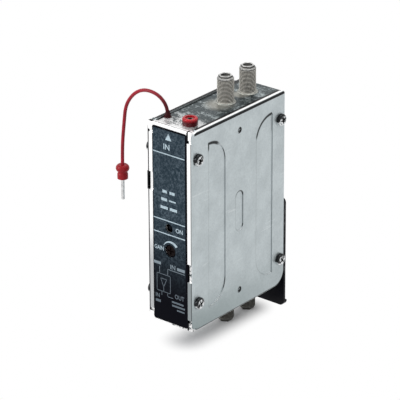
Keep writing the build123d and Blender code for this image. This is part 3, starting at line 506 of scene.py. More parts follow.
    def rim(self, box, names, width):
        """1 at the border of a box along the named axes, and 0 further in than the width."""
        gaps = []
        for name in names:
            index = AXIS_NAMES.index(name)
            gaps.append(self.minus(self.axes[name], box[0][index]))
            gaps.append(self.minus(box[1][index], self.axes[name]))
        return self.span(self.calculate("MINIMUM", *gaps), (0.0, width), FALLING)


def dress(material, *names):
    """Gives the named frame nodes a material."""
    for name in names:
        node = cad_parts[name]
        node.data.materials.clear()
        node.data.materials.append(material)


def middle(node):
    """Middle of a frame node's box."""
    low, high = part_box(node)
    return (low + high) / 2


def shaded(colour_value, share):
    """Colour darkened to a share of itself."""
    return tuple(share * part for part in colour_value)


def moulded(name, colour_value, rough=0.38, specular=0.3):
    """Moulded plastic: a shade that wanders a little, a fine skin and dull patches."""
    cloud_size = 1.6 * MM
    dark_share = 0.72
    rough_change = 0.16
    made = Finish(name, specular=specular)
    cloud = made.noise(cloud_size, detail=3.0)
    made.moulded_skin()
    shade = made.blend(cloud, shaded(colour_value, dark_share), colour_value)
    return made.paint(shade, made.span(cloud, CLOUDY, (rough, rough + rough_change)))


def turned_metal(name, colour_value, rough=0.24):
    """Turned or drawn metal: fine marks, a tarnish that comes and goes, and uneven gloss."""
    tarnish_size = 1.8 * MM
    mark_size = 0.5 * MM
    mark_depth = 0.01 * MM
    mark_range = (0.25, 0.75)
    dark_share = 0.62
    rough_change = 0.18
    made = Finish(name, metallic=1.0)
    tarnish = made.span(made.noise(tarnish_size, detail=5.0), STEEP)
    marks = made.noise(mark_size, detail=4.0, stretch=(1.0, 1.0, 6.0))
    shade = made.blend(tarnish, shaded(colour_value, dark_share), colour_value)
    made.relief(marks, mark_depth)
    return made.paint(shade, made.span(marks, mark_range, (rough, rough + rough_change)))


def long_pressing_lines(made, settings):
    """Painted shade lines round the two long pressings, one pattern each.

    Each line is grey along the sides, darker on the side that faces the front, and turns wide and black round
    the upper corners that face up and to the front, where the pressing's walls lie in shade."""
    blacken_length = 4.0 * MM
    start_length = 0.7 * MM
    before_side = -1.0 * MM
    past_side = 0.2 * MM
    front_black_end = 7.0 * MM
    side_shades = (0.30, 0.15)
    wide_share = 2.4
    low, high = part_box("cover_right")
    centre_z = (low.z + high.z) / 2
    width = settings.panel_width
    height = high.z - low.z - 2 * settings.panel_end
    lines = []
    for centre_y, way, black_from, start, end in (
        (low.y + settings.panel_front, 1.0, settings.black_front, before_side, front_black_end),
        (high.y - settings.panel_back, -1.0, settings.black_back, past_side, width),
    ):
        outline, inside = made.pressing((centre_y, centre_z), width, height, settings.panel_corner, way)
        sides = made.span(made.axes["Y"], (centre_y - MM, centre_y + MM), side_shades)
        black = made.product(
            made.span(made.axes["Z"], (black_from, black_from + blacken_length)),
            made.span(inside, (start, start + start_length)),
            made.span(inside, (end, end + blacken_length), FALLING),
        )
        core = made.product(black, settings.crease)
        reach = made.span(black, (0.0, 1.0), (settings.crease, wide_share * settings.crease))
        line = made.span(made.size_of(outline), (core, reach), FALLING)
        lines.append(made.product(line, made.largest(sides, black)))
    return lines


def small_pressing_lines(made, settings):
    """Painted shade line round the short pressing, and a painted shadow crescent at the back of each dimple.

    A crescent is the dimple's circle without a smaller circle that is shifted to the front and up."""
    line_share = 1.4
    top_heights = (4.0 * MM, 1.0 * MM)
    top_shades = (0.22, 0.9)
    crescent_forward = 0.6 * MM
    crescent_up = 0.2 * MM
    crescent_edge = (1.3 * MM, 1.7 * MM)
    rim_share = 1.15
    low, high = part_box("cover_right")
    centre_y = (low.y + high.y) / 2
    centre_z = (low.z + high.z) / 2
    outline = made.slot_distance((centre_y, centre_z), settings.middle_width, settings.middle_height)
    line = made.span(made.size_of(outline), (0.0, line_share * settings.crease), FALLING)
    top_z = centre_z + settings.middle_height / 2
    darker = made.span(made.axes["Z"], (top_z - top_heights[0], top_z - top_heights[1]), top_shades)
    lines = [made.product(line, darker)]
    radius = settings.dimple_radius
    for dimple_z in (low.z + settings.dimple_end, high.z - settings.dimple_end):
        bowl = made.distance_to(("Y", centre_y), ("Z", dimple_z))
        lit = made.distance_to(("Y", centre_y - crescent_forward), ("Z", dimple_z + crescent_up))
        disc = made.span(bowl, (radius, rim_share * radius), FALLING)
        lines.append(made.product(disc, made.span(lit, crescent_edge)))
    return lines


def plated_sheet(settings):
    """Cover sheet: satin plating with cloudy places, rolling grain, scratches, and painted shade lines round
    the pressings.

    The flanges carry a painted highlight, with painted shade lines at their bends and inner edges, and the
    face takes on painted shade low down."""
    cloud_size = 13.0 * MM
    speckle_size = 1.1 * MM
    speckle_range = (0.35, 0.7)
    speckle_shares = (0.0, 0.22)
    low_shade_shares = (0.95, 0.35)
    rough_range = (0.34, 0.52)
    grain_size = 0.5 * MM
    grain_depth = 0.006 * MM
    scratch_size = 2.6 * MM
    scratch_range = (0.69, 0.72)
    scratch_share = 0.25
    line_share = 0.97
    made = Finish("plated_sheet", metallic=0.78, specular=0.4)
    low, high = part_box("cover_right")
    cloud = made.span(made.noise(cloud_size, detail=6.0, rough=0.6), CLOUDY)
    speckle = made.noise(speckle_size, detail=5.0, rough=0.65)
    grain = made.noise(grain_size, detail=3.0, stretch=(1.0, 1.0, 0.05))
    scratch = made.span(made.noise(scratch_size, detail=2.0, stretch=(1.0, 0.08, 1.0)), scratch_range)
    shade = made.blend(cloud, settings.cover_shade, settings.cover_colour)
    shade = made.blend(made.span(speckle, speckle_range, speckle_shares), shade, settings.speckle_colour)
    shade = made.blend(made.product(scratch, scratch_share), shade, settings.scratch_colour)
    # Painted shade: the covers darken towards their lower edge, more at the front than at the back
    dull = made.product(
        made.span(made.axes["Z"], (low.z, settings.low_shade_height), FALLING),
        made.span(made.axes["Y"], (low.y, high.y), low_shade_shares),
    )
    shade = made.blend(dull, shade, settings.cover_low_shade)
    # Painted shade lines round the pressings and painted shadow crescents in the dimples
    lines = made.largest(*long_pressing_lines(made, settings), *small_pressing_lines(made, settings))
    shade = made.blend(made.product(lines, line_share), shade, settings.painted_shade_black)
    shade = front_flange_shade(made, settings, shade)
    shade = end_flange_shade(made, settings, shade)
    made.relief(grain, grain_depth)
    return made.paint(shade, made.span(speckle, CLOUDY, rough_range))


def front_flange_shade(made, settings, shade):
    """Painted light on the covers' front flanges: a painted highlight, painted shade on the right flange
    under its notch and on the left flange low down, and painted shade lines at their bends.
    """
    front_reach = (1.1 * MM, 1.6 * MM)
    bend_place = (0.85 * MM, 1.25 * MM)
    bend_soft = 0.2 * MM
    bend_share = 0.7
    lip_start = (0.8 * MM, 1.0 * MM)
    left_edge = (1.1 * MM, 1.5 * MM)
    left_fade = (40.0 * MM, 70.0 * MM)
    forward_range = (0.75, 0.95)
    low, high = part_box("cover_right")
    x = made.axes["X"]
    z = made.axes["Z"]
    at_front = made.span(made.minus(made.axes["Y"], low.y), front_reach, FALLING)
    forward = made.product(made.facing["Y"], -1.0)
    flange = made.product(made.span(forward, forward_range), at_front)
    from_right = made.minus(high.x, x)
    right_bend = made.product(flange, made.band(from_right, bend_place, bend_soft), bend_share)
    left_bend = made.product(made.span(made.total(x, high.x), left_edge, FALLING), at_front)
    lip = made.product(flange, made.span(from_right, lip_start))
    under_notch = made.span(z, (settings.notch_low, settings.notch_low + MM), FALLING)
    low_right = made.product(made.span(x, (0.0, MM)), under_notch)
    low_left = made.product(made.span(x, (-MM, 0.0), FALLING), made.span(z, left_fade, FALLING))
    # Painted highlight on the flanges, with painted shade under the right flange's notch and low on the left
    # flange
    bright = made.blend(low_right, settings.painted_highlight_white, settings.lip_notch_shade)
    bright = made.blend(low_left, bright, settings.lip_low_shade)
    shade = made.blend(lip, shade, bright)
    # Painted shade lines at the flanges' bends
    return made.blend(made.largest(right_bend, left_bend), shade, settings.painted_shade_black)


def end_flange_shade(made, settings, shade):
    """Painted light on the covers' top and bottom flanges: a painted highlight, and painted shade lines at
    the bend, just under it and at the inner edge.
    """
    front_reach = (1.6 * MM, 2.4 * MM)
    flange_range = (0.5, 0.8)
    rim_range = (0.12, 0.45)
    rim_soft = 0.1
    rim_share = 0.9
    under_place = (0.9 * MM, 2.1 * MM)
    under_soft = 0.3 * MM
    outer_face = (0.05 * MM, 0.2 * MM)
    inner_start = (1.2 * MM, 1.5 * MM)
    low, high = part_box("cover_right")
    upright = made.size_of(made.facing["Z"])
    from_side = made.minus(high.x, made.size_of(made.axes["X"]))
    # Painted highlight on the upward and downward facing flanges
    shade = made.blend(made.span(upright, flange_range), shade, settings.painted_highlight_white)
    # Painted shade lines: at the bend, just under it on the face, and at the flange's inner edge
    rim = made.product(made.band(upright, rim_range, rim_soft), rim_share)
    under = made.band(made.minus(high.z, made.axes["Z"]), under_place, under_soft)
    under = made.product(under, made.span(from_side, outer_face, FALLING))
    inner = made.product(made.span(from_side, inner_start), upright)
    past_front = made.span(made.minus(made.axes["Y"], low.y), front_reach)
    black = made.product(made.largest(rim, under, inner), past_front)
    return made.blend(black, shade, settings.painted_shade_black)


def spangled_sheet(settings):
    """Chassis sheet: bright tinning with dull patches on its upper face, pooled and streaked.

    The sheet is pale at its front end and warm round the top sockets, with a painted highlight on its folded
    lips and painted shadow lines beside the covers' flanges."""
    wide_size = 6.0 * MM
    wide_share = 0.55
    small_size = 1.3 * MM
    small_share = 0.45
    small_depth = 0.03 * MM
    flake_size = 1.8 * MM
    flake_range = (0.1, 0.6)
    upward_range = (0.8, 0.98)
    upward_shares = (0.22, 1.0)
    patch_reach = (2.0 * MM, 32.0 * MM)
    patch_change = (-0.02, 0.05)
    patch_range = (0.49, 0.54)
    patch_shares = (0.0, 0.95)
    pale_reach = (8.0 * MM, 26.0 * MM)
    warm_start = 3.0 * MM
    warm_reaches = {"top_front": 11.0 * MM, "top_rear": 6.5 * MM}
    warm_shares = (0.75, 0.0)
    rough_range = (0.26, 0.55)
    made = Finish("spangled_sheet", metallic=0.72, specular=0.4)
    wide = made.noise(wide_size, detail=7.0, rough=0.65, stretch=(0.6, 1.0, 1.0))
    small = made.noise(small_size, detail=6.0, rough=0.75)
    flakes = made.span(made.cells(flake_size, distance="CHEBYCHEV"), flake_range)
    from_front = made.minus(made.axes["Y"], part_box("chassis")[0].y)
    upward = made.span(made.facing["Z"], upward_range, upward_shares)
    further = made.span(from_front, patch_reach, patch_change)
    mixed = made.total(made.product(wide, wide_share), made.product(small, small_share), further)
    patch = made.product(made.span(mixed, patch_range, patch_shares), upward)
    light = made.blend(made.product(flakes, upward), settings.sheet_light, settings.sheet_spangle)
    light = made.blend(made.span(from_front, pale_reach, FALLING), light, settings.sheet_pale)
    shade = made.blend(patch, light, settings.sheet_dark)
    for socket_place, reach in warm_reaches.items():
        front_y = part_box(socket_place + "_socket_shell")[0].y
        near = made.distance_to(("X", 0.0), ("Y", front_y))
        shade = made.blend(made.span(near, (warm_start, reach), warm_shares), shade, settings.sheet_warm)
    shade = chassis_edge_shade(made, settings, shade, from_front, small)
    made.relief(small, small_depth)
    return made.paint(shade, made.span(small, CLOUDY, rough_range))


def chassis_edge_shade(made, settings, shade, from_front, small):
    """Painted light on the chassis: painted shadow lines beside the flanges, the label and the far notch,
    painted shade under the right notch, and a painted highlight on the lips with a painted shade line at the
    bend.

    The far notch is the right cover's notch turned over, so it lies as far below the cover's top as that
    one lies above its foot."""
    upward_range = (0.6, 0.9)
    gap_soft = 0.3 * MM
    gap_start = (4.6 * MM, 5.0 * MM)
    lip_fade = (0.9 * MM, 2.2 * MM)
    mottle_fade = (9.5 * MM, 11.5 * MM)
    mottle_range = (0.42, 0.52)
    label_gap = (-0.2 * MM, 0.85 * MM)
    label_soft = 0.15 * MM
    notch_height = 11.0 * MM
    notch_soft = 0.3 * MM
    notch_edge = (1.4 * MM, 1.8 * MM)
    far_edge = (3.3 * MM, 3.9 * MM)
    mark_width = 0.12 * MM
    mark_soft = 0.3 * MM
    mark_upward = (0.5, 0.8)
    broken_range = (0.35, 0.6)
    broken_shares = (0.45, 0.95)
    low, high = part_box("cover_right")
    x = made.axes["X"]
    z = made.axes["Z"]
    upward = made.span(made.facing["Z"], upward_range)

    from_side = made.minus(high.x, made.size_of(x))
    gap_edge = settings.flange_width + settings.gap_width
    # Painted shadow line in the gap beside each flange
    gap = made.span(from_side, (gap_edge - gap_soft, gap_edge + gap_soft), FALLING)
    gap = made.product(gap, made.span(from_front, gap_start), upward)
    shade = made.blend(gap, shade, settings.painted_shade_black)

    past_bend = made.minus(from_front, settings.bend_line)
    # Painted highlight on the front lips
    lip = made.span(past_bend, lip_fade, FALLING)
    shade = made.blend(lip, shade, settings.painted_highlight_white)
    # Painted shade, mottled by noise, on the right lip under the notch
    over_notch = made.span(made.minus(z, settings.notch_low), mottle_fade, FALLING)
    mottled_notch_shade = made.blend(made.span(small, mottle_range), settings.sheet_dark, settings.sheet_pale)
    shade = made.blend(made.product(over_notch, made.span(x, (0.0, MM)), lip), shade, mottled_notch_shade)

    # Painted shadow lines beside the label, in the far notch and along the far edge
    beside_label = made.band(made.minus(x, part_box("front_label")[1].x), label_gap, label_soft)
    from_left = made.total(x, high.x)
    far_top = low.z + high.z - settings.notch_low
    far_notch = made.band(z, (far_top - notch_height, far_top), notch_soft)
    far_notch = made.product(far_notch, made.span(from_left, notch_edge, FALLING))
    far_line = made.product(made.span(from_left, far_edge, FALLING), upward)
    dark = made.product(made.largest(beside_label, far_notch, far_line), lip)
    shade = made.blend(dark, shade, settings.painted_shade_black)

    # Painted shade line at the bend, broken by noise
    mark = made.band(past_bend, (-mark_width, mark_width), mark_soft)
    broken = made.span(small, broken_range, broken_shares)
    mark = made.product(mark, broken, made.span(made.facing["Z"], mark_upward))
    return made.blend(mark, shade, settings.painted_shade_black)


def slate_plate(settings):
    """Label plate: slate that darkens downward, with black bands and a fine printed grain."""
    grain_size = 1.3 * MM
    grain_range = (0.43, 0.61)
    grain_depth = 0.008 * MM
    cloud_size = 9.0 * MM
    cloud_shares = (0.55, 0.95)
    rough_range = (0.42, 0.58)
    top_share = 0.75
    side_share = 0.8
    left_share = 0.6
    made = Finish("slate_plate", specular=0.04)
    low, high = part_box("front_label")
    grain = made.noise(grain_size, detail=7.0, rough=0.85)
    cloud = made.noise(cloud_size, detail=3.0)
    fade = made.span(made.axes["Z"], (settings.fade_low, settings.fade_top))
    shade = made.blend(fade, settings.black_colour, settings.slate_colour)
    lift = made.product(made.span(grain, grain_range), fade, made.span(cloud, CLOUDY, cloud_shares))
    shade = made.blend(lift, shade, settings.grain_colour)
    from_top = made.minus(high.z, made.axes["Z"])
    from_right = made.minus(high.x, made.axes["X"])
    from_left = made.minus(made.axes["X"], low.x)
    bands = made.largest(
        made.span(from_top, (top_share * settings.top_band, settings.top_band), FALLING),
        made.span(from_right, (side_share * settings.side_band, settings.side_band), FALLING),
        made.span(from_left, (left_share * settings.left_band, settings.left_band), FALLING),
    )
    shade = made.blend(bands, shade, settings.black_colour)
    made.relief(grain, grain_depth)
    return made.paint(shade, made.span(cloud, CLOUDY, rough_range))


def printed_ink(settings):
    """Print: pale ink, thinner in places and dimmer low on the plate."""
    thin_size = 0.7 * MM
    thin_depth = 0.006 * MM
    thin_range = (0.34, 0.56)
    thin_shares = (0.4, 0.0)
    rough_range = (0.45, 0.6)
    made = Finish("printed_ink", specular=0.12)
    thin = made.noise(thin_size, detail=5.0, rough=0.7)
    dim = made.span(made.axes["Z"], (settings.dim_low, settings.dim_top), FALLING)
    ink = made.blend(dim, settings.ink_colour, settings.dim_colour)
    made.relief(thin, thin_depth)
    shade = made.blend(made.span(thin, thin_range, thin_shares), ink, settings.slate_colour)
    return made.paint(shade, made.span(thin, CLOUDY, rough_range))


def black_coat(settings):
    """Bracket: black coat with a fine orange-peel skin, dusty places and rubbed borders."""
    peel_size = 0.6 * MM
    peel_depth = 0.02 * MM
    dust_size = 6.0 * MM
    dust_range = (0.4, 0.75)
    dust_shares = (0.0, 0.5)
    rubbed_width = 0.4 * MM
    worn_range = (0.52, 0.64)
    worn_share = 0.6
    dull_range = (0.35, 0.7)
    rough_range = (0.34, 0.52)
    made = Finish("black_coat", specular=0.1)
    peel = made.noise(peel_size, detail=4.0)
    dust = made.noise(dust_size, detail=6.0, rough=0.65)
    rubbed = made.rim(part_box("mounting_bracket"), "XZ", rubbed_width)
    worn = made.product(rubbed, made.span(dust, worn_range), worn_share)
    shade = made.blend(made.span(dust, dust_range, dust_shares), settings.coat_colour, settings.coat_dust)
    shade = made.blend(worn, shade, settings.coat_worn)
    made.relief(peel, peel_depth)
    return made.paint(shade, made.span(dust, dull_range, rough_range))


def zinc_plate(settings):
    """Screws: bright zinc with painted shade in the driver's cross and painted dark reflections on the upper
    rounding and in blotches.
    """
    tarnish_size = 0.9 * MM
    tarnish_depth = 0.02 * MM
    tarnish_range = (0.38, 0.6)
    blotch_size = 2.4 * MM
    blotch_range = (0.50, 0.56)
    blotch_shares = (0.0, 0.92)
    forward_share = 0.45
    upper_range = (0.12, 0.32)
    upper_shares = (0.0, 0.98)
    flat_range = (0.9, 0.99)
    cross_depths = (0.25 * MM, 1.3 * MM)
    cross_soft = 0.1 * MM
    rough_range = (0.14, 0.32)
    made = Finish("zinc_plate", metallic=0.9)
    depth = made.minus(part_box("cover_screws_right")[1].x, made.size_of(made.axes["X"]))
    tarnish = made.noise(tarnish_size, detail=5.0, rough=0.6)
    # Painted dark reflections in blotches
    blotch_reflection = made.span(made.noise(blotch_size, detail=3.0), blotch_range, blotch_shares)
    shade = made.blend(made.span(tarnish, tarnish_range), settings.zinc_shade, settings.zinc_colour)
    # Painted dark reflection on the upper rounding
    upper = made.minus(made.facing["Z"], made.product(made.facing["Y"], forward_share))
    upper = made.span(upper, upper_range, upper_shares)
    # Painted shade down in the driver's cross
    cross = made.span(made.size_of(made.facing["X"]), flat_range)
    cross = made.product(cross, made.band(depth, cross_depths, cross_soft))
    shade = made.blend(made.largest(upper, blotch_reflection, cross), shade, settings.painted_shade_black)
    made.relief(tarnish, tarnish_depth)
    return made.paint(shade, made.span(tarnish, CLOUDY, rough_range))


def threaded_nickel(settings, socket_place):
    """Socket shell: nickel with a painted highlight on its thread's ridges and painted shade in its grooves.

    The neck and the nose are brighter, with painted dark reflections on the facets under the nose's end face.
    The flanks that face away from the front right take painted shade, and the sockets below the case are
    darkened with painted shade."""
    tarnish_size = 1.4 * MM
    fine_size = 0.18 * MM
    fine_depth = 0.01 * MM
    ridge_rise = 0.2 * MM
    neck_end = (1.9 * MM, 2.4 * MM)
    facet_place = (0.25 * MM, 1.05 * MM)
    facet_soft = 0.12 * MM
    facet_share = 0.9
    end_face = (0.08 * MM, 0.2 * MM)
    front_right = (0.63, -0.77)
    toward_range = (0.1, 0.8)
    toward_shares = (0.6, 0.0)
    sideways_range = (0.5, 0.8)
    nose_range = (0.4, 0.6)
    stain_range = (0.45, 0.70)
    stain_shares = (0.0, 0.3)
    low_shade_share = 0.72
    rough_range = (0.42, 0.58)
    made = Finish("threaded_nickel_" + socket_place, metallic=0.35, specular=0.3)
    node = socket_place + "_socket_shell"
    low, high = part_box(node)
    centre = middle(node)
    upward = socket_place.startswith("top")
    radius = made.distance_to(("X", centre.x), ("Y", centre.y))
    root = settings.thread_radius - settings.thread_depth
    ridge = made.span(radius, (root + ridge_rise, settings.thread_radius))
    from_end = made.size_of(made.minus(made.axes["Z"], high.z if upward else low.z))
    tarnish = made.noise(tarnish_size, detail=5.0, rough=0.6)
    fine = made.noise(fine_size, detail=4.0)
    # Painted highlight on the ridges and painted shade in the grooves
    shade = made.blend(ridge, settings.groove_and_flank_shade, settings.crest_highlight)
    neck = made.blend(made.span(tarnish, STEEP), settings.neck_shade, settings.neck_colour)
    shade = made.blend(made.span(from_end, neck_end, FALLING), shade, neck)
    # Painted dark reflection on the facets under the end face
    facets = made.product(made.band(from_end, facet_place, facet_soft), facet_share)
    shade = made.blend(facets, shade, settings.bevel_dark_reflection)
    # Painted shade on the flanks that face away from the front right
    toward = made.total(
        made.product(made.facing["X"], front_right[0]), made.product(made.facing["Y"], front_right[1])
    )
    sideways = made.span(made.facing["Z"], sideways_range, FALLING)
    flank = made.product(made.span(toward, toward_range, toward_shares), sideways)
    shade = made.blend(flank, shade, settings.groove_and_flank_shade)
    nose = made.blend(made.span(tarnish, nose_range), settings.nose_shade, settings.nose_colour)
    shade = made.blend(made.span(from_end, end_face, FALLING), shade, nose)
    shade = made.blend(made.span(tarnish, stain_range, stain_shares), shade, settings.stain_colour)
    # Painted shade on the sockets below the case
    if not upward:
        shade = made.blend(low_shade_share, shade, settings.low_socket_shade)
    made.relief(fine, fine_depth)
    return made.paint(shade, made.span(tarnish, CLOUDY, rough_range))


def solder_fillet(settings):
    """Solder: dull, lumpy and greyer where the flux stayed."""
    lump_size = 1.2 * MM
    lump_depth = 0.12 * MM
    lump_range = (0.4, 0.6)
    rough_range = (0.3, 0.6)
    made = Finish("solder_fillet", metallic=0.8)
    lumps = made.noise(lump_size, detail=4.0)
    shade = made.blend(made.span(lumps, lump_range), settings.solder_pale, settings.solder_colour)
    made.relief(lumps, lump_depth)
    return made.paint(shade, made.span(lumps, CLOUDY, rough_range))


def coated_board(settings):
    """Circuit board: green coat over paler tracks, with tinned pads."""
    track_size = 5.0 * MM
    track_depth = 0.03 * MM
    track_edge = (0.04, 0.09)
    pad_size = 3.4 * MM
    pad_edge = (0.13, 0.17)
    weave_size = 0.3 * MM
    weave_depth = 0.008 * MM
    rough_range = (0.24, 0.38)
    made = Finish("coated_board", coat=0.3)
    tracks = made.span(made.cells(track_size, "DISTANCE_TO_EDGE"), track_edge, FALLING)
    pads = made.span(made.cells(pad_size), pad_edge, FALLING)
    weave = made.noise(weave_size, detail=2.0)
    shade = made.blend(tracks, settings.board_colour, settings.track_colour)
    shade = made.blend(pads, shade, settings.pad_colour)
    made.relief(tracks, track_depth)
    made.relief(weave, weave_depth)
    return made.paint(shade, made.span(weave, CLOUDY, rough_range))


def red_sheath(settings):
    """Lead: red sheath with fine marks and dull stretches, and painted shade towards its strain relief."""
    rubbed_size = 4.0 * MM
    fine_size = 0.22 * MM
    fine_depth = 0.014 * MM
    dark_share = 0.78
    exit_reach = (5.0 * MM, 20.0 * MM)
    exit_shares = (0.85, 0.0)
    rough_range = (0.34, 0.52)
    made = Finish("red_sheath", specular=0.2)
    rubbed = made.noise(rubbed_size, detail=4.0)
    darker = shaded(settings.sheath_colour, dark_share)
    shade = made.blend(made.span(rubbed, STEEP), darker, settings.sheath_colour)
    # Painted shade on the lead near its exit
    shade_near_exit = made.distance_to(*zip(AXIS_NAMES, middle("lead_grommet")))
    shade = made.blend(made.span(shade_near_exit, exit_reach, exit_shares), shade, settings.relief_colour_and_lead_shade)
    made.relief(made.noise(fine_size, detail=4.0), fine_depth)
    return made.paint(shade, made.span(rubbed, CLOUDY, rough_range))


def red_bush(settings):
    """Supply socket's bush: glossy red plastic with painted shade that deepens towards the chassis, and
    darker cloudy places.
    """
    cloud_size = 1.6 * MM
    cloud_range = (0.35, 0.7)
    cloud_shares = (0.0, 0.35)
    rough_range = (0.22, 0.38)
    shade_height = 0.9 * MM
    past_top = 0.2 * MM
    made = Finish("red_bush", specular=0.22, coat=0.12)
    cloud = made.noise(cloud_size, detail=3.0)
    # Painted shade that deepens towards the chassis
    shade_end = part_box("chassis")[1].z + shade_height
    rise = made.span(made.axes["Z"], (shade_end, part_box("supply_socket_bush")[1].z + past_top))
    shade = made.blend(rise, settings.bush_shade_and_cloud, settings.bush_colour)
    shade = made.blend(made.span(cloud, cloud_range, cloud_shares), shade, settings.bush_shade_and_cloud)
    made.moulded_skin()
    return made.paint(shade, made.span(cloud, CLOUDY, rough_range))


def new_piece(name, points, faces, material, sharp_angle=None):
    """A mesh piece from arrays of points and faces, riding on the fixed body."""
    mesh = bpy.data.meshes.new(name)
    mesh.from_pydata(np.asarray(points).tolist(), [], np.asarray(faces).tolist())
    mesh.update()
    if sharp_angle is not None:
        mesh.polygons.foreach_set("use_smooth", np.ones(len(mesh.polygons), bool))
        mesh.set_sharp_from_angle(angle=sharp_angle)
    mesh.materials.append(material)
    piece = bpy.data.objects.new(name, mesh)
    bpy.context.scene.collection.objects.link(piece)
    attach(piece, FIXED_BODY)
    return piece


def round_axis(radii, heights):
    """Points at the given radii and heights round an upright axis, row by row."""
    angles = np.arange(radii.shape[1]) * 2 * pi / radii.shape[1]
    points = np.stack([radii * np.cos(angles), radii * np.sin(angles), heights], axis=-1)
    return points.reshape(-1, 3)


def closed_grid_faces(rows, columns):
    """Quads of a grid that closes on itself both ways, turned to face outward."""
    row, column = np.meshgrid(np.arange(rows), np.arange(columns), indexing="ij")
    next_row = (row + 1) % rows
    next_column = (column + 1) % columns
    corners = (
        row * columns + column,
        next_row * columns + column,
        next_row * columns + next_column,
        row * columns + next_column,
    )
    return np.stack(corners, axis=-1).reshape(-1, 4)


def socket_rows(settings):
    """Radii and heights of a threaded socket shell, as rows round its axis.

    One closed profile is carried round the axis. On the nose its radius is that of a hexagon, half the
    flats divided by the cosine of the angle from the nearest flat. Along the thread the radius falls from
    ridge to groove and back once in each pitch, and the ridge climbs one pitch in each turn, so it is a
    helix. The groove grows from nothing and ends in nothing over half a pitch."""
    angles = np.arange(SOCKET_COLUMNS) * 2 * pi / SOCKET_COLUMNS
    nose_start = settings.reach - settings.nose_height
    thread_stop = nose_start - settings.shoulder_height
    ring = np.ones(SOCKET_COLUMNS)
    flat_angle = (angles + pi / 6) % (pi / 3) - pi / 6
    hexagon = settings.nose_flats / 2 / np.cos(flat_angle)
    inside = -settings.sheet - settings.flange_height
    rows = [
        (settings.bore_radius * ring, inside),
        (settings.bore_radius * ring, settings.reach - settings.mouth_depth),
        (settings.mouth_radius * ring, settings.reach - settings.mouth_depth),
        (settings.mouth_radius * ring, settings.reach - settings.nose_bevel),
        (settings.mouth_radius * ring + settings.nose_bevel, settings.reach),
        (hexagon - settings.nose_bevel, settings.reach),
        (hexagon, settings.reach - settings.nose_bevel),
        (hexagon, nose_start),
        (settings.neck_radius * ring, nose_start - settings.shoulder_height / 2),
        (settings.neck_radius * ring, thread_stop),
    ]
    row_count = int(ROWS_PER_PITCH * (thread_stop - settings.thread_start) / settings.thread_pitch)
    for height in np.linspace(thread_stop, settings.thread_start, row_count):
        phase = (height / settings.thread_pitch - angles / (2 * pi) + 0.5) % 1.0 - 0.5
        from_crest = np.abs(phase) * settings.thread_pitch - settings.crest / 2
        fall = np.clip(from_crest / settings.flank, 0.0, 1.0)
        edge = min(height - settings.thread_start, thread_stop - height)
        grown = min(1.0, edge / (settings.thread_pitch / 2))
        rows.append((settings.thread_radius - grown * fall * settings.thread_depth, height))
    rows += [
        (settings.thread_radius * ring, -settings.sheet),
        (settings.flange_radius * ring, -settings.sheet),
        (settings.flange_radius * ring, inside),
    ]
    radii = np.array([row[0] for row in rows])
    heights = np.repeat(np.array([row[1] for row in rows])[:, None], SOCKET_COLUMNS, axis=1)
    return radii, heights


def ribbon(points, width):
    """Quads of a flat stroke of even width along a run of points, each as four corners.

    Each run is widened by half the width to both sides and lengthened by as much at both ends."""
    points = np.array(points, float)
    along = np.diff(points, axis=0)
    along /= np.linalg.norm(along, axis=1)[:, None]
    across = np.stack([-along[:, 1], along[:, 0]], axis=1) * width / 2
    first = points[:-1] - along * width / 2
    last = points[1:] + along * width / 2
    return np.stack([first - across, last - across, last + across, first + across], axis=1)


def letters(word):
    """Points and triangles of a word's letters, from 0 to 1 across and up."""
    curve = bpy.data.curves.new("letters", "FONT")
    curve.body = word
    curve.offset = 0.018
    curve.resolution_u = 3
    holder = bpy.data.objects.new("letters", curve)
    bpy.context.scene.collection.objects.link(holder)
    bpy.context.view_layer.update()
    mesh = bpy.data.meshes.new_from_object(holder)
    mesh.calc_loop_triangles()
    points = np.zeros(len(mesh.vertices) * 3)
    mesh.vertices.foreach_get("co", points)
    triangles = np.zeros(len(mesh.loop_triangles) * 3, int)
    mesh.loop_triangles.foreach_get("vertices", triangles)
    bpy.data.objects.remove(holder)
    bpy.data.curves.remove(curve)
    bpy.data.meshes.remove(mesh)
    points = points.reshape(-1, 3)[:, :2]
    low, high = points.min(0), points.max(0)
    return (points - low) / (high - low), triangles.reshape(-1, 3)


def print_on_label(name, flat_points, faces, settings, material):
    """A flat print piece on the label: x and z become a sheet of ink on the plate's face."""
    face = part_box("front_label")[0].y
    flat_points = np.asarray(flat_points, float).reshape(-1, 2)
    height = np.full(len(flat_points), face - settings.ink_height)
    points = np.stack([flat_points[:, 0], height, flat_points[:, 1]], axis=1)
    piece = new_piece(name, points, faces, material)
    thick = piece.modifiers.new("ink", "SOLIDIFY")
    thick.thickness = settings.ink_height
    thick.offset = -1.0
    return piece


def quads_of(corners):
    """Points and faces of separate quads, given as four corners each."""
    corners = np.asarray(corners, float).reshape(-1, 2)
    return corners, np.arange(len(corners)).reshape(-1, 4)


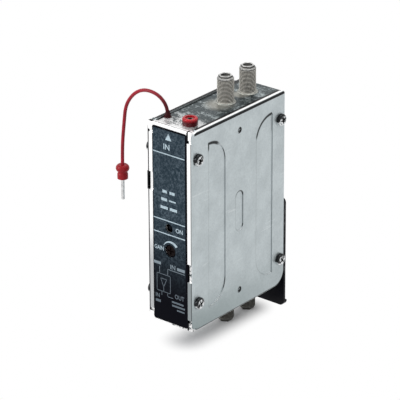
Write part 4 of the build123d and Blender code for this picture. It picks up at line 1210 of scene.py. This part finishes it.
class AMPLIFIER_OT_stage(Operator):
    """Camera at the picture's viewing angle, soft lamps and a pale floor"""

    bl_idname = "amplifier.stage"
    bl_label = "Stage"

    def execute(self, context):
        settings = context.scene.amplifier_stage
        self.add_camera(context, settings)
        self.add_lamp(context, "key_lamp", settings.key_place, settings.key_width, settings.key_power)
        self.add_lamp(context, "top_lamp", settings.top_place, settings.top_width, settings.top_power)
        self.add_floor(context, settings)
        self.set_world(context, settings)
        context.scene.view_settings.view_transform = "Standard"
        return {"FINISHED"}

    def add_camera(self, context, settings):
        """Camera whose axes come from the azimuth, elevation and roll."""
        azimuth, elevation, roll = settings.azimuth, settings.elevation, settings.roll
        back = Vector((sin(azimuth) * cos(elevation), -cos(azimuth) * cos(elevation), sin(elevation)))
        right = Vector((cos(azimuth), sin(azimuth), 0.0))
        up = back.cross(right)
        rolled_right = cos(roll) * right - sin(roll) * up
        rolled_up = sin(roll) * right + cos(roll) * up
        turned = Matrix((rolled_right, rolled_up, back)).transposed().to_4x4()
        camera = bpy.data.objects.new("camera", bpy.data.cameras.new("camera"))
        camera.data.lens = settings.lens
        camera.data.clip_start = settings.near_clip
        camera.data.clip_end = settings.far_clip
        camera.matrix_world = Matrix.Translation(settings.camera_place) @ turned
        context.scene.collection.objects.link(camera)
        context.scene.camera = camera

    def add_lamp(self, context, name, lamp_place, width, watts):
        """One square soft lamp that points at the middle of the chassis."""
        lamp = bpy.data.lights.new(name, "AREA")
        lamp.size = width
        lamp.energy = watts
        holder = bpy.data.objects.new(name, lamp)
        way = middle("chassis") - lamp_place
        turned = way.to_track_quat("-Z", "Y").to_matrix().to_4x4()
        holder.matrix_world = Matrix.Translation(lamp_place) @ turned
        context.scene.collection.objects.link(holder)

    def add_floor(self, context, settings):
        """Floor under the lowest point, which fades to the background away from the object."""
        reach = settings.floor_reach
        height = cad_box[0].z
        sides = ((-reach, -reach), (reach, -reach), (reach, reach), (-reach, reach))
        mesh = bpy.data.meshes.new("floor")
        mesh.from_pydata([(x, y, height) for x, y in sides], [], [(0, 1, 2, 3)])
        mesh.materials.append(self.floor_finish(settings))
        floor = bpy.data.objects.new("floor", mesh)
        context.scene.collection.objects.link(floor)

    def floor_finish(self, settings):
        """Pale floor with a painted grey shadow seen under the case, and white away from it."""
        dust_range = (0.2, 0.8)
        dust_shares = (0.0, 0.03)
        made = Finish("pale_floor", specular=0.1)
        rays = made.node("ShaderNodeLightPath").outputs
        seen = made.largest(rays["Is Camera Ray"], rays["Is Glossy Ray"])
        low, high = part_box("chassis")
        steps = []
        for index, axis in enumerate("XY"):
            centre = (low[index] + high[index]) / 2
            core = high[index] - centre - settings.shadow_inset
            off = made.size_of(made.minus(made.axes[axis], centre))
            steps.append(made.largest(made.minus(off, core), 0.0))
        share = made.product(made.span(made.length_of(*steps), (0.0, settings.shadow_reach)), seen)
        dust = made.span(made.noise(settings.dust_size, detail=5.0), dust_range, dust_shares)
        pale = made.blend(dust, settings.floor_colour, settings.dust_colour)
        # The floor is seen in the painted shadow colour under the case
        made.paint(made.blend(seen, pale, settings.shadow_colour), rough=0.7)
        white = made.node("ShaderNodeEmission", {"Color": WHITE, "Strength": 1.0}).outputs[0]
        mixed = made.node("ShaderNodeMixShader", {0: share, 1: made.shader.outputs[0], 2: white}).outputs[0]
        made.feed(made.nodes["Material Output"].inputs["Surface"], mixed)
        return made.material

    def set_world(self, context, settings):
        """Even light from all round, shown as white where it is seen directly or in a reflection."""
        world = bpy.data.worlds.new("studio")
        world.use_nodes = True
        context.scene.world = world
        nodes = world.node_tree.nodes
        links = world.node_tree.links
        rays = nodes.new("ShaderNodeLightPath").outputs
        seen = rays["Is Camera Ray"]
        for kind in ("Is Glossy Ray", "Is Transmission Ray"):
            either = nodes.new("ShaderNodeMath")
            either.operation = "MAXIMUM"
            links.new(seen, either.inputs[0])
            links.new(rays[kind], either.inputs[1])
            seen = either.outputs[0]
        strength = nodes.new("ShaderNodeMapRange")
        strength.inputs["To Min"].default_value = settings.world_level
        strength.inputs["To Max"].default_value = 1.0
        links.new(seen, strength.inputs["Value"])
        background = nodes["Background"]
        background.inputs["Color"].default_value = (*WHITE, 1.0)
        links.new(strength.outputs["Result"], background.inputs["Strength"])


class AMPLIFIER_OT_lead(Operator):
    """Free supply lead as one smooth cord, with its grommet, held end and plug"""

    bl_idname = "amplifier.lead"
    bl_label = "Supply lead"

    def execute(self, context):
        settings = context.scene.amplifier_lead
        fittings = context.scene.amplifier_fittings
        leaves = middle("lead_grommet")
        leaves.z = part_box("lead_grommet")[1].z
        sheath = red_sheath(settings)
        dark_red = moulded("dark_red_relief", settings.relief_colour_and_lead_shade, rough=0.45, specular=0.15)
        self.add_cord(context, settings, leaves, sheath)
        self.add_relief(settings, leaves, dark_red)
        dress(sheath, "lead_inner_end")
        dress(dark_red, "lead_grommet")
        dress(moulded("red_collar", settings.plug_colour, rough=0.3, specular=0.2), "lead_plug_collar")
        dress(turned_metal("bright_nickel", fittings.nickel_colour, rough=0.14), "lead_plug_pin")
        return {"FINISHED"}

    def add_cord(self, context, settings, leaves, sheath):
        """Lead on one smooth spline whose control points are the route's."""
        curve = bpy.data.curves.new("supply_lead_cord", "CURVE")
        curve.dimensions = "3D"
        curve.resolution_u = 16
        curve.bevel_depth = settings.diameter / 2
        curve.bevel_resolution = 6
        curve.use_fill_caps = True
        spline = curve.splines.new("NURBS")
        spline.points.add(len(LEAD_STEPS) - 1)
        for point, step in zip(spline.points, LEAD_STEPS):
            point.co = (*(leaves + Vector(step)), 1.0)
        spline.order_u = 3
        spline.use_endpoint_u = True
        curve.materials.append(sheath)
        piece = bpy.data.objects.new("supply_lead_cord", curve)
        context.scene.collection.objects.link(piece)
        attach(piece, FIXED_BODY)
        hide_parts("supply_lead")

    def add_relief(self, settings, leaves, material):
        """Tapered strain relief round the lead.

        One closed profile is carried round the axis. Outside, the radius eases from the base to the tip by
        half a cosine wave, and inside it is that of the bore."""
        share = np.linspace(0.0, 1.0, RELIEF_ROWS)
        eased = (1 - np.cos(pi * share)) / 2
        outside = settings.relief_base + (settings.relief_tip - settings.relief_base) * eased
        profile = np.concatenate([outside, [settings.relief_bore, settings.relief_bore]])
        rises = np.concatenate([share, [1.0, 0.0]]) * settings.relief_height
        radii = np.repeat(profile[:, None], RELIEF_COLUMNS, axis=1)
        heights = np.repeat(rises[:, None], RELIEF_COLUMNS, axis=1)
        points = round_axis(radii, heights) + np.array(leaves)
        faces = closed_grid_faces(len(profile), RELIEF_COLUMNS)[:, ::-1]
        new_piece("lead_strain_relief", points, faces, material, RELIEF_SHARP_ANGLE)


class AMPLIFIER_OT_sockets(Operator):
    """Four coaxial sockets with helical threads, their insulators, contacts and solder"""

    bl_idname = "amplifier.sockets"
    bl_label = "Coaxial sockets"

    def execute(self, context):
        settings = context.scene.amplifier_sockets
        fittings = context.scene.amplifier_fittings
        radii, heights = socket_rows(settings)
        upright = round_axis(radii, heights)
        faces = closed_grid_faces(len(radii), SOCKET_COLUMNS)
        for socket_place in SOCKET_PLACES:
            node = socket_place + "_socket_shell"
            low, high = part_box(node)
            centre = middle(node)
            base = high.z - settings.reach
            turned = upright
            if socket_place.startswith("low"):
                base = low.z + settings.reach
                turned = upright * (1.0, -1.0, -1.0)
            points = turned + np.array([centre.x, centre.y, base])
            nickel = threaded_nickel(settings, socket_place)
            name = socket_place + "_threaded_shell"
            shell = new_piece(name, points, faces, nickel, SOCKET_SHARP_ANGLE)
            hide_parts(node)
        insulators = [socket_place + "_socket_insulator" for socket_place in SOCKET_PLACES]
        contacts = [socket_place + "_socket_contact" for socket_place in SOCKET_PLACES]
        # Insulators darkened as painted shade in the sockets' mouths
        dress(moulded("shaded_white_insulator", fittings.insulator_shaded_colour, rough=0.45), *insulators)
        dress(turned_metal("tinned_brass", fittings.brass_colour), *contacts)
        dress(solder_fillet(fittings), "solder_rings")
        return {"FINISHED"}


class AMPLIFIER_OT_case(Operator):
    """Finish of the covers, chassis, bracket and fasteners"""

    bl_idname = "amplifier.case"
    bl_label = "Case"

    def execute(self, context):
        settings = context.scene.amplifier_case
        dress(plated_sheet(settings), "cover_left", "cover_right")
        dress(spangled_sheet(settings), "chassis", "board_clips", "shield_wall", "bracket_rivets")
        dress(zinc_plate(settings), "cover_screws_left", "cover_screws_right", "cover_pillars")
        dress(black_coat(settings), "mounting_bracket")
        return {"FINISHED"}


class AMPLIFIER_OT_label(Operator):
    """Label plate with its lines, words, bars, arrow, wedge and block symbol"""

    bl_idname = "amplifier.label"
    bl_label = "Label"

    def execute(self, context):
        settings = context.scene.amplifier_label
        ink = printed_ink(settings)
        dress(slate_plate(settings), "front_label")
        self.print_lines(settings, ink)
        self.print_words(settings, ink)
        self.print_marks(settings, ink)
        self.print_wedge(settings, ink)
        return {"FINISHED"}

    def print_lines(self, settings, ink):
        """Lines from the label's left-hand edge to just short of its black band."""
        low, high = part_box("front_label")
        left = low.x + settings.left_band
        right = high.x - settings.line_margin
        runs = [((left, height * MM), (right, height * MM)) for height in LINE_HEIGHTS]
        strokes = [ribbon(run, settings.line_width) for run in runs]
        print_on_label("label_lines", *quads_of(strokes), settings, ink)

    def print_words(self, settings, ink):
        """Each word's letters are carried to its own width and height."""
        points = []
        faces = []
        start = 0
        for word, x, z, width, height in WORDS:
            unit, triangles = letters(word)
            size = np.array([width, height]) * MM
            points.append((unit - 0.5) * size + np.array([x, z]) * MM)
            faces.append(triangles + start)
            start += len(unit)
        print_on_label("label_words", np.concatenate(points), np.concatenate(faces), settings, ink)

    def print_marks(self, settings, ink):
        """Plain bars, the arrow and the block symbol."""
        bars = []
        for x, z, width, height in BARS:
            run = ((x - width / 2 + height / 2, z), (x + width / 2 - height / 2, z))
            bars.append(ribbon(np.array(run) * MM, height * MM))
        print_on_label("label_bars", *quads_of(bars), settings, ink)
        print_on_label("label_arrow", np.array(ARROW_CORNERS) * MM, [(0, 1, 2)], settings, ink)
        runs = [ribbon(np.array(stroke) * MM, settings.stroke_width) for stroke in SYMBOL_STROKES]
        print_on_label("label_symbol", *quads_of(np.concatenate(runs)), settings, ink)

    def print_wedge(self, settings, ink):
        """Arc over the gain control whose outer radius grows evenly from its thin end to its thick end."""
        centre = middle("gain_rotor")
        share = np.linspace(0.0, 1.0, WEDGE_STEPS)
        angle = settings.arc_from + (settings.arc_to - settings.arc_from) * share
        widths = settings.arc_thin + (settings.arc_thick - settings.arc_thin) * share
        way = np.stack([np.cos(angle), np.sin(angle)], axis=1)
        inner = np.array([centre.x, centre.z]) + way * settings.arc_radius
        outer = inner + way * widths[:, None]
        corners = np.stack([inner[:-1], inner[1:], outer[1:], outer[:-1]], axis=1)
        print_on_label("gain_wedge", *quads_of(corners), settings, ink)


class AMPLIFIER_OT_fittings(Operator):
    """Finish of the supply socket, lamp and gain control"""

    bl_idname = "amplifier.fittings"
    bl_label = "Fittings"

    def execute(self, context):
        settings = context.scene.amplifier_fittings
        dress(red_bush(settings), "supply_socket_bush")
        dress(turned_metal("socket_sleeve", settings.sleeve_colour, rough=0.3), "supply_socket_sleeve")
        dress(turned_metal("link_brass", settings.brass_colour), "supply_link")
        dress(moulded("smoked_lamp", settings.lamp_colour, rough=0.45, specular=0.05), "lamp_lens")
        dress(moulded("dark_rotor", settings.rotor_colour, rough=0.5, specular=0.06), "gain_rotor")
        # Control body darkened as painted shade in its recess
        dress(moulded("shaded_dark_control", settings.control_shaded_colour, rough=0.4, specular=0.06), "gain_control_body")
        wire = turned_metal("tinned_wire", settings.nickel_colour, rough=0.2)
        dress(wire, "lamp_legs", "gain_control_legs")
        return {"FINISHED"}


class AMPLIFIER_OT_board(Operator):
    """Finish of the circuit board and the parts on it"""

    bl_idname = "amplifier.board"
    bl_label = "Circuit board"

    def execute(self, context):
        settings = context.scene.amplifier_fittings
        chip = moulded("black_chip", settings.chip_colour, rough=0.45)
        dress(coated_board(settings), "circuit_board")
        dress(chip, "amplifier_chips", "voltage_regulator")
        dress(moulded("tan_ceramic", settings.ceramic_colour, rough=0.5), "chip_capacitors")
        dress(moulded("dark_ferrite", settings.ferrite_colour, rough=0.55), "filter_cores")
        dress(moulded("can_sleeve", settings.can_colour, rough=0.25), "supply_capacitors")
        dress(turned_metal("plain_tab", settings.nickel_colour, rough=0.32), "regulator_tab")
        return {"FINISHED"}


class AMPLIFIER_PT_panel(Panel):
    """Steps and settings of the amplifier"""

    bl_label = "Signal amplifier"
    bl_idname = "AMPLIFIER_PT_panel"
    bl_space_type = "VIEW_3D"
    bl_region_type = "UI"
    bl_category = "Amplifier"

    def draw(self, context):
        for step in STEPS:
            self.layout.operator(step.bl_idname)
        for name in SETTINGS:
            group = getattr(context.scene, name)
            box = self.layout.box()
            box.label(text=name.replace("_", " "))
            for field in group.bl_rna.properties.keys()[2:]:
                box.prop(group, field)


SETTINGS = {
    "amplifier_stage": StageSettings,
    "amplifier_lead": LeadSettings,
    "amplifier_sockets": SocketSettings,
    "amplifier_case": CaseSettings,
    "amplifier_label": LabelSettings,
    "amplifier_fittings": FittingSettings,
}
STEPS = (
    AMPLIFIER_OT_stage,
    AMPLIFIER_OT_lead,
    AMPLIFIER_OT_sockets,
    AMPLIFIER_OT_case,
    AMPLIFIER_OT_label,
    AMPLIFIER_OT_fittings,
    AMPLIFIER_OT_board,
)


def register():
    """Registers the settings, steps and panel."""
    for name, group in SETTINGS.items():
        bpy.utils.register_class(group)
        setattr(bpy.types.Scene, name, PointerProperty(type=group))
    for step in STEPS:
        bpy.utils.register_class(step)
    bpy.utils.register_class(AMPLIFIER_PT_panel)


def unregister():
    """Takes the panel, steps and settings out again."""
    bpy.utils.unregister_class(AMPLIFIER_PT_panel)
    for step in reversed(STEPS):
        bpy.utils.unregister_class(step)
    for name, group in SETTINGS.items():
        delattr(bpy.types.Scene, name)
        bpy.utils.unregister_class(group)


def main():
    """Dresses the frame step by step."""
    register()
    bpy.ops.amplifier.stage()
    bpy.ops.amplifier.lead()
    bpy.ops.amplifier.sockets()
    bpy.ops.amplifier.case()
    bpy.ops.amplifier.label()
    bpy.ops.amplifier.fittings()
    bpy.ops.amplifier.board()


if __name__ == "__main__":
    main()
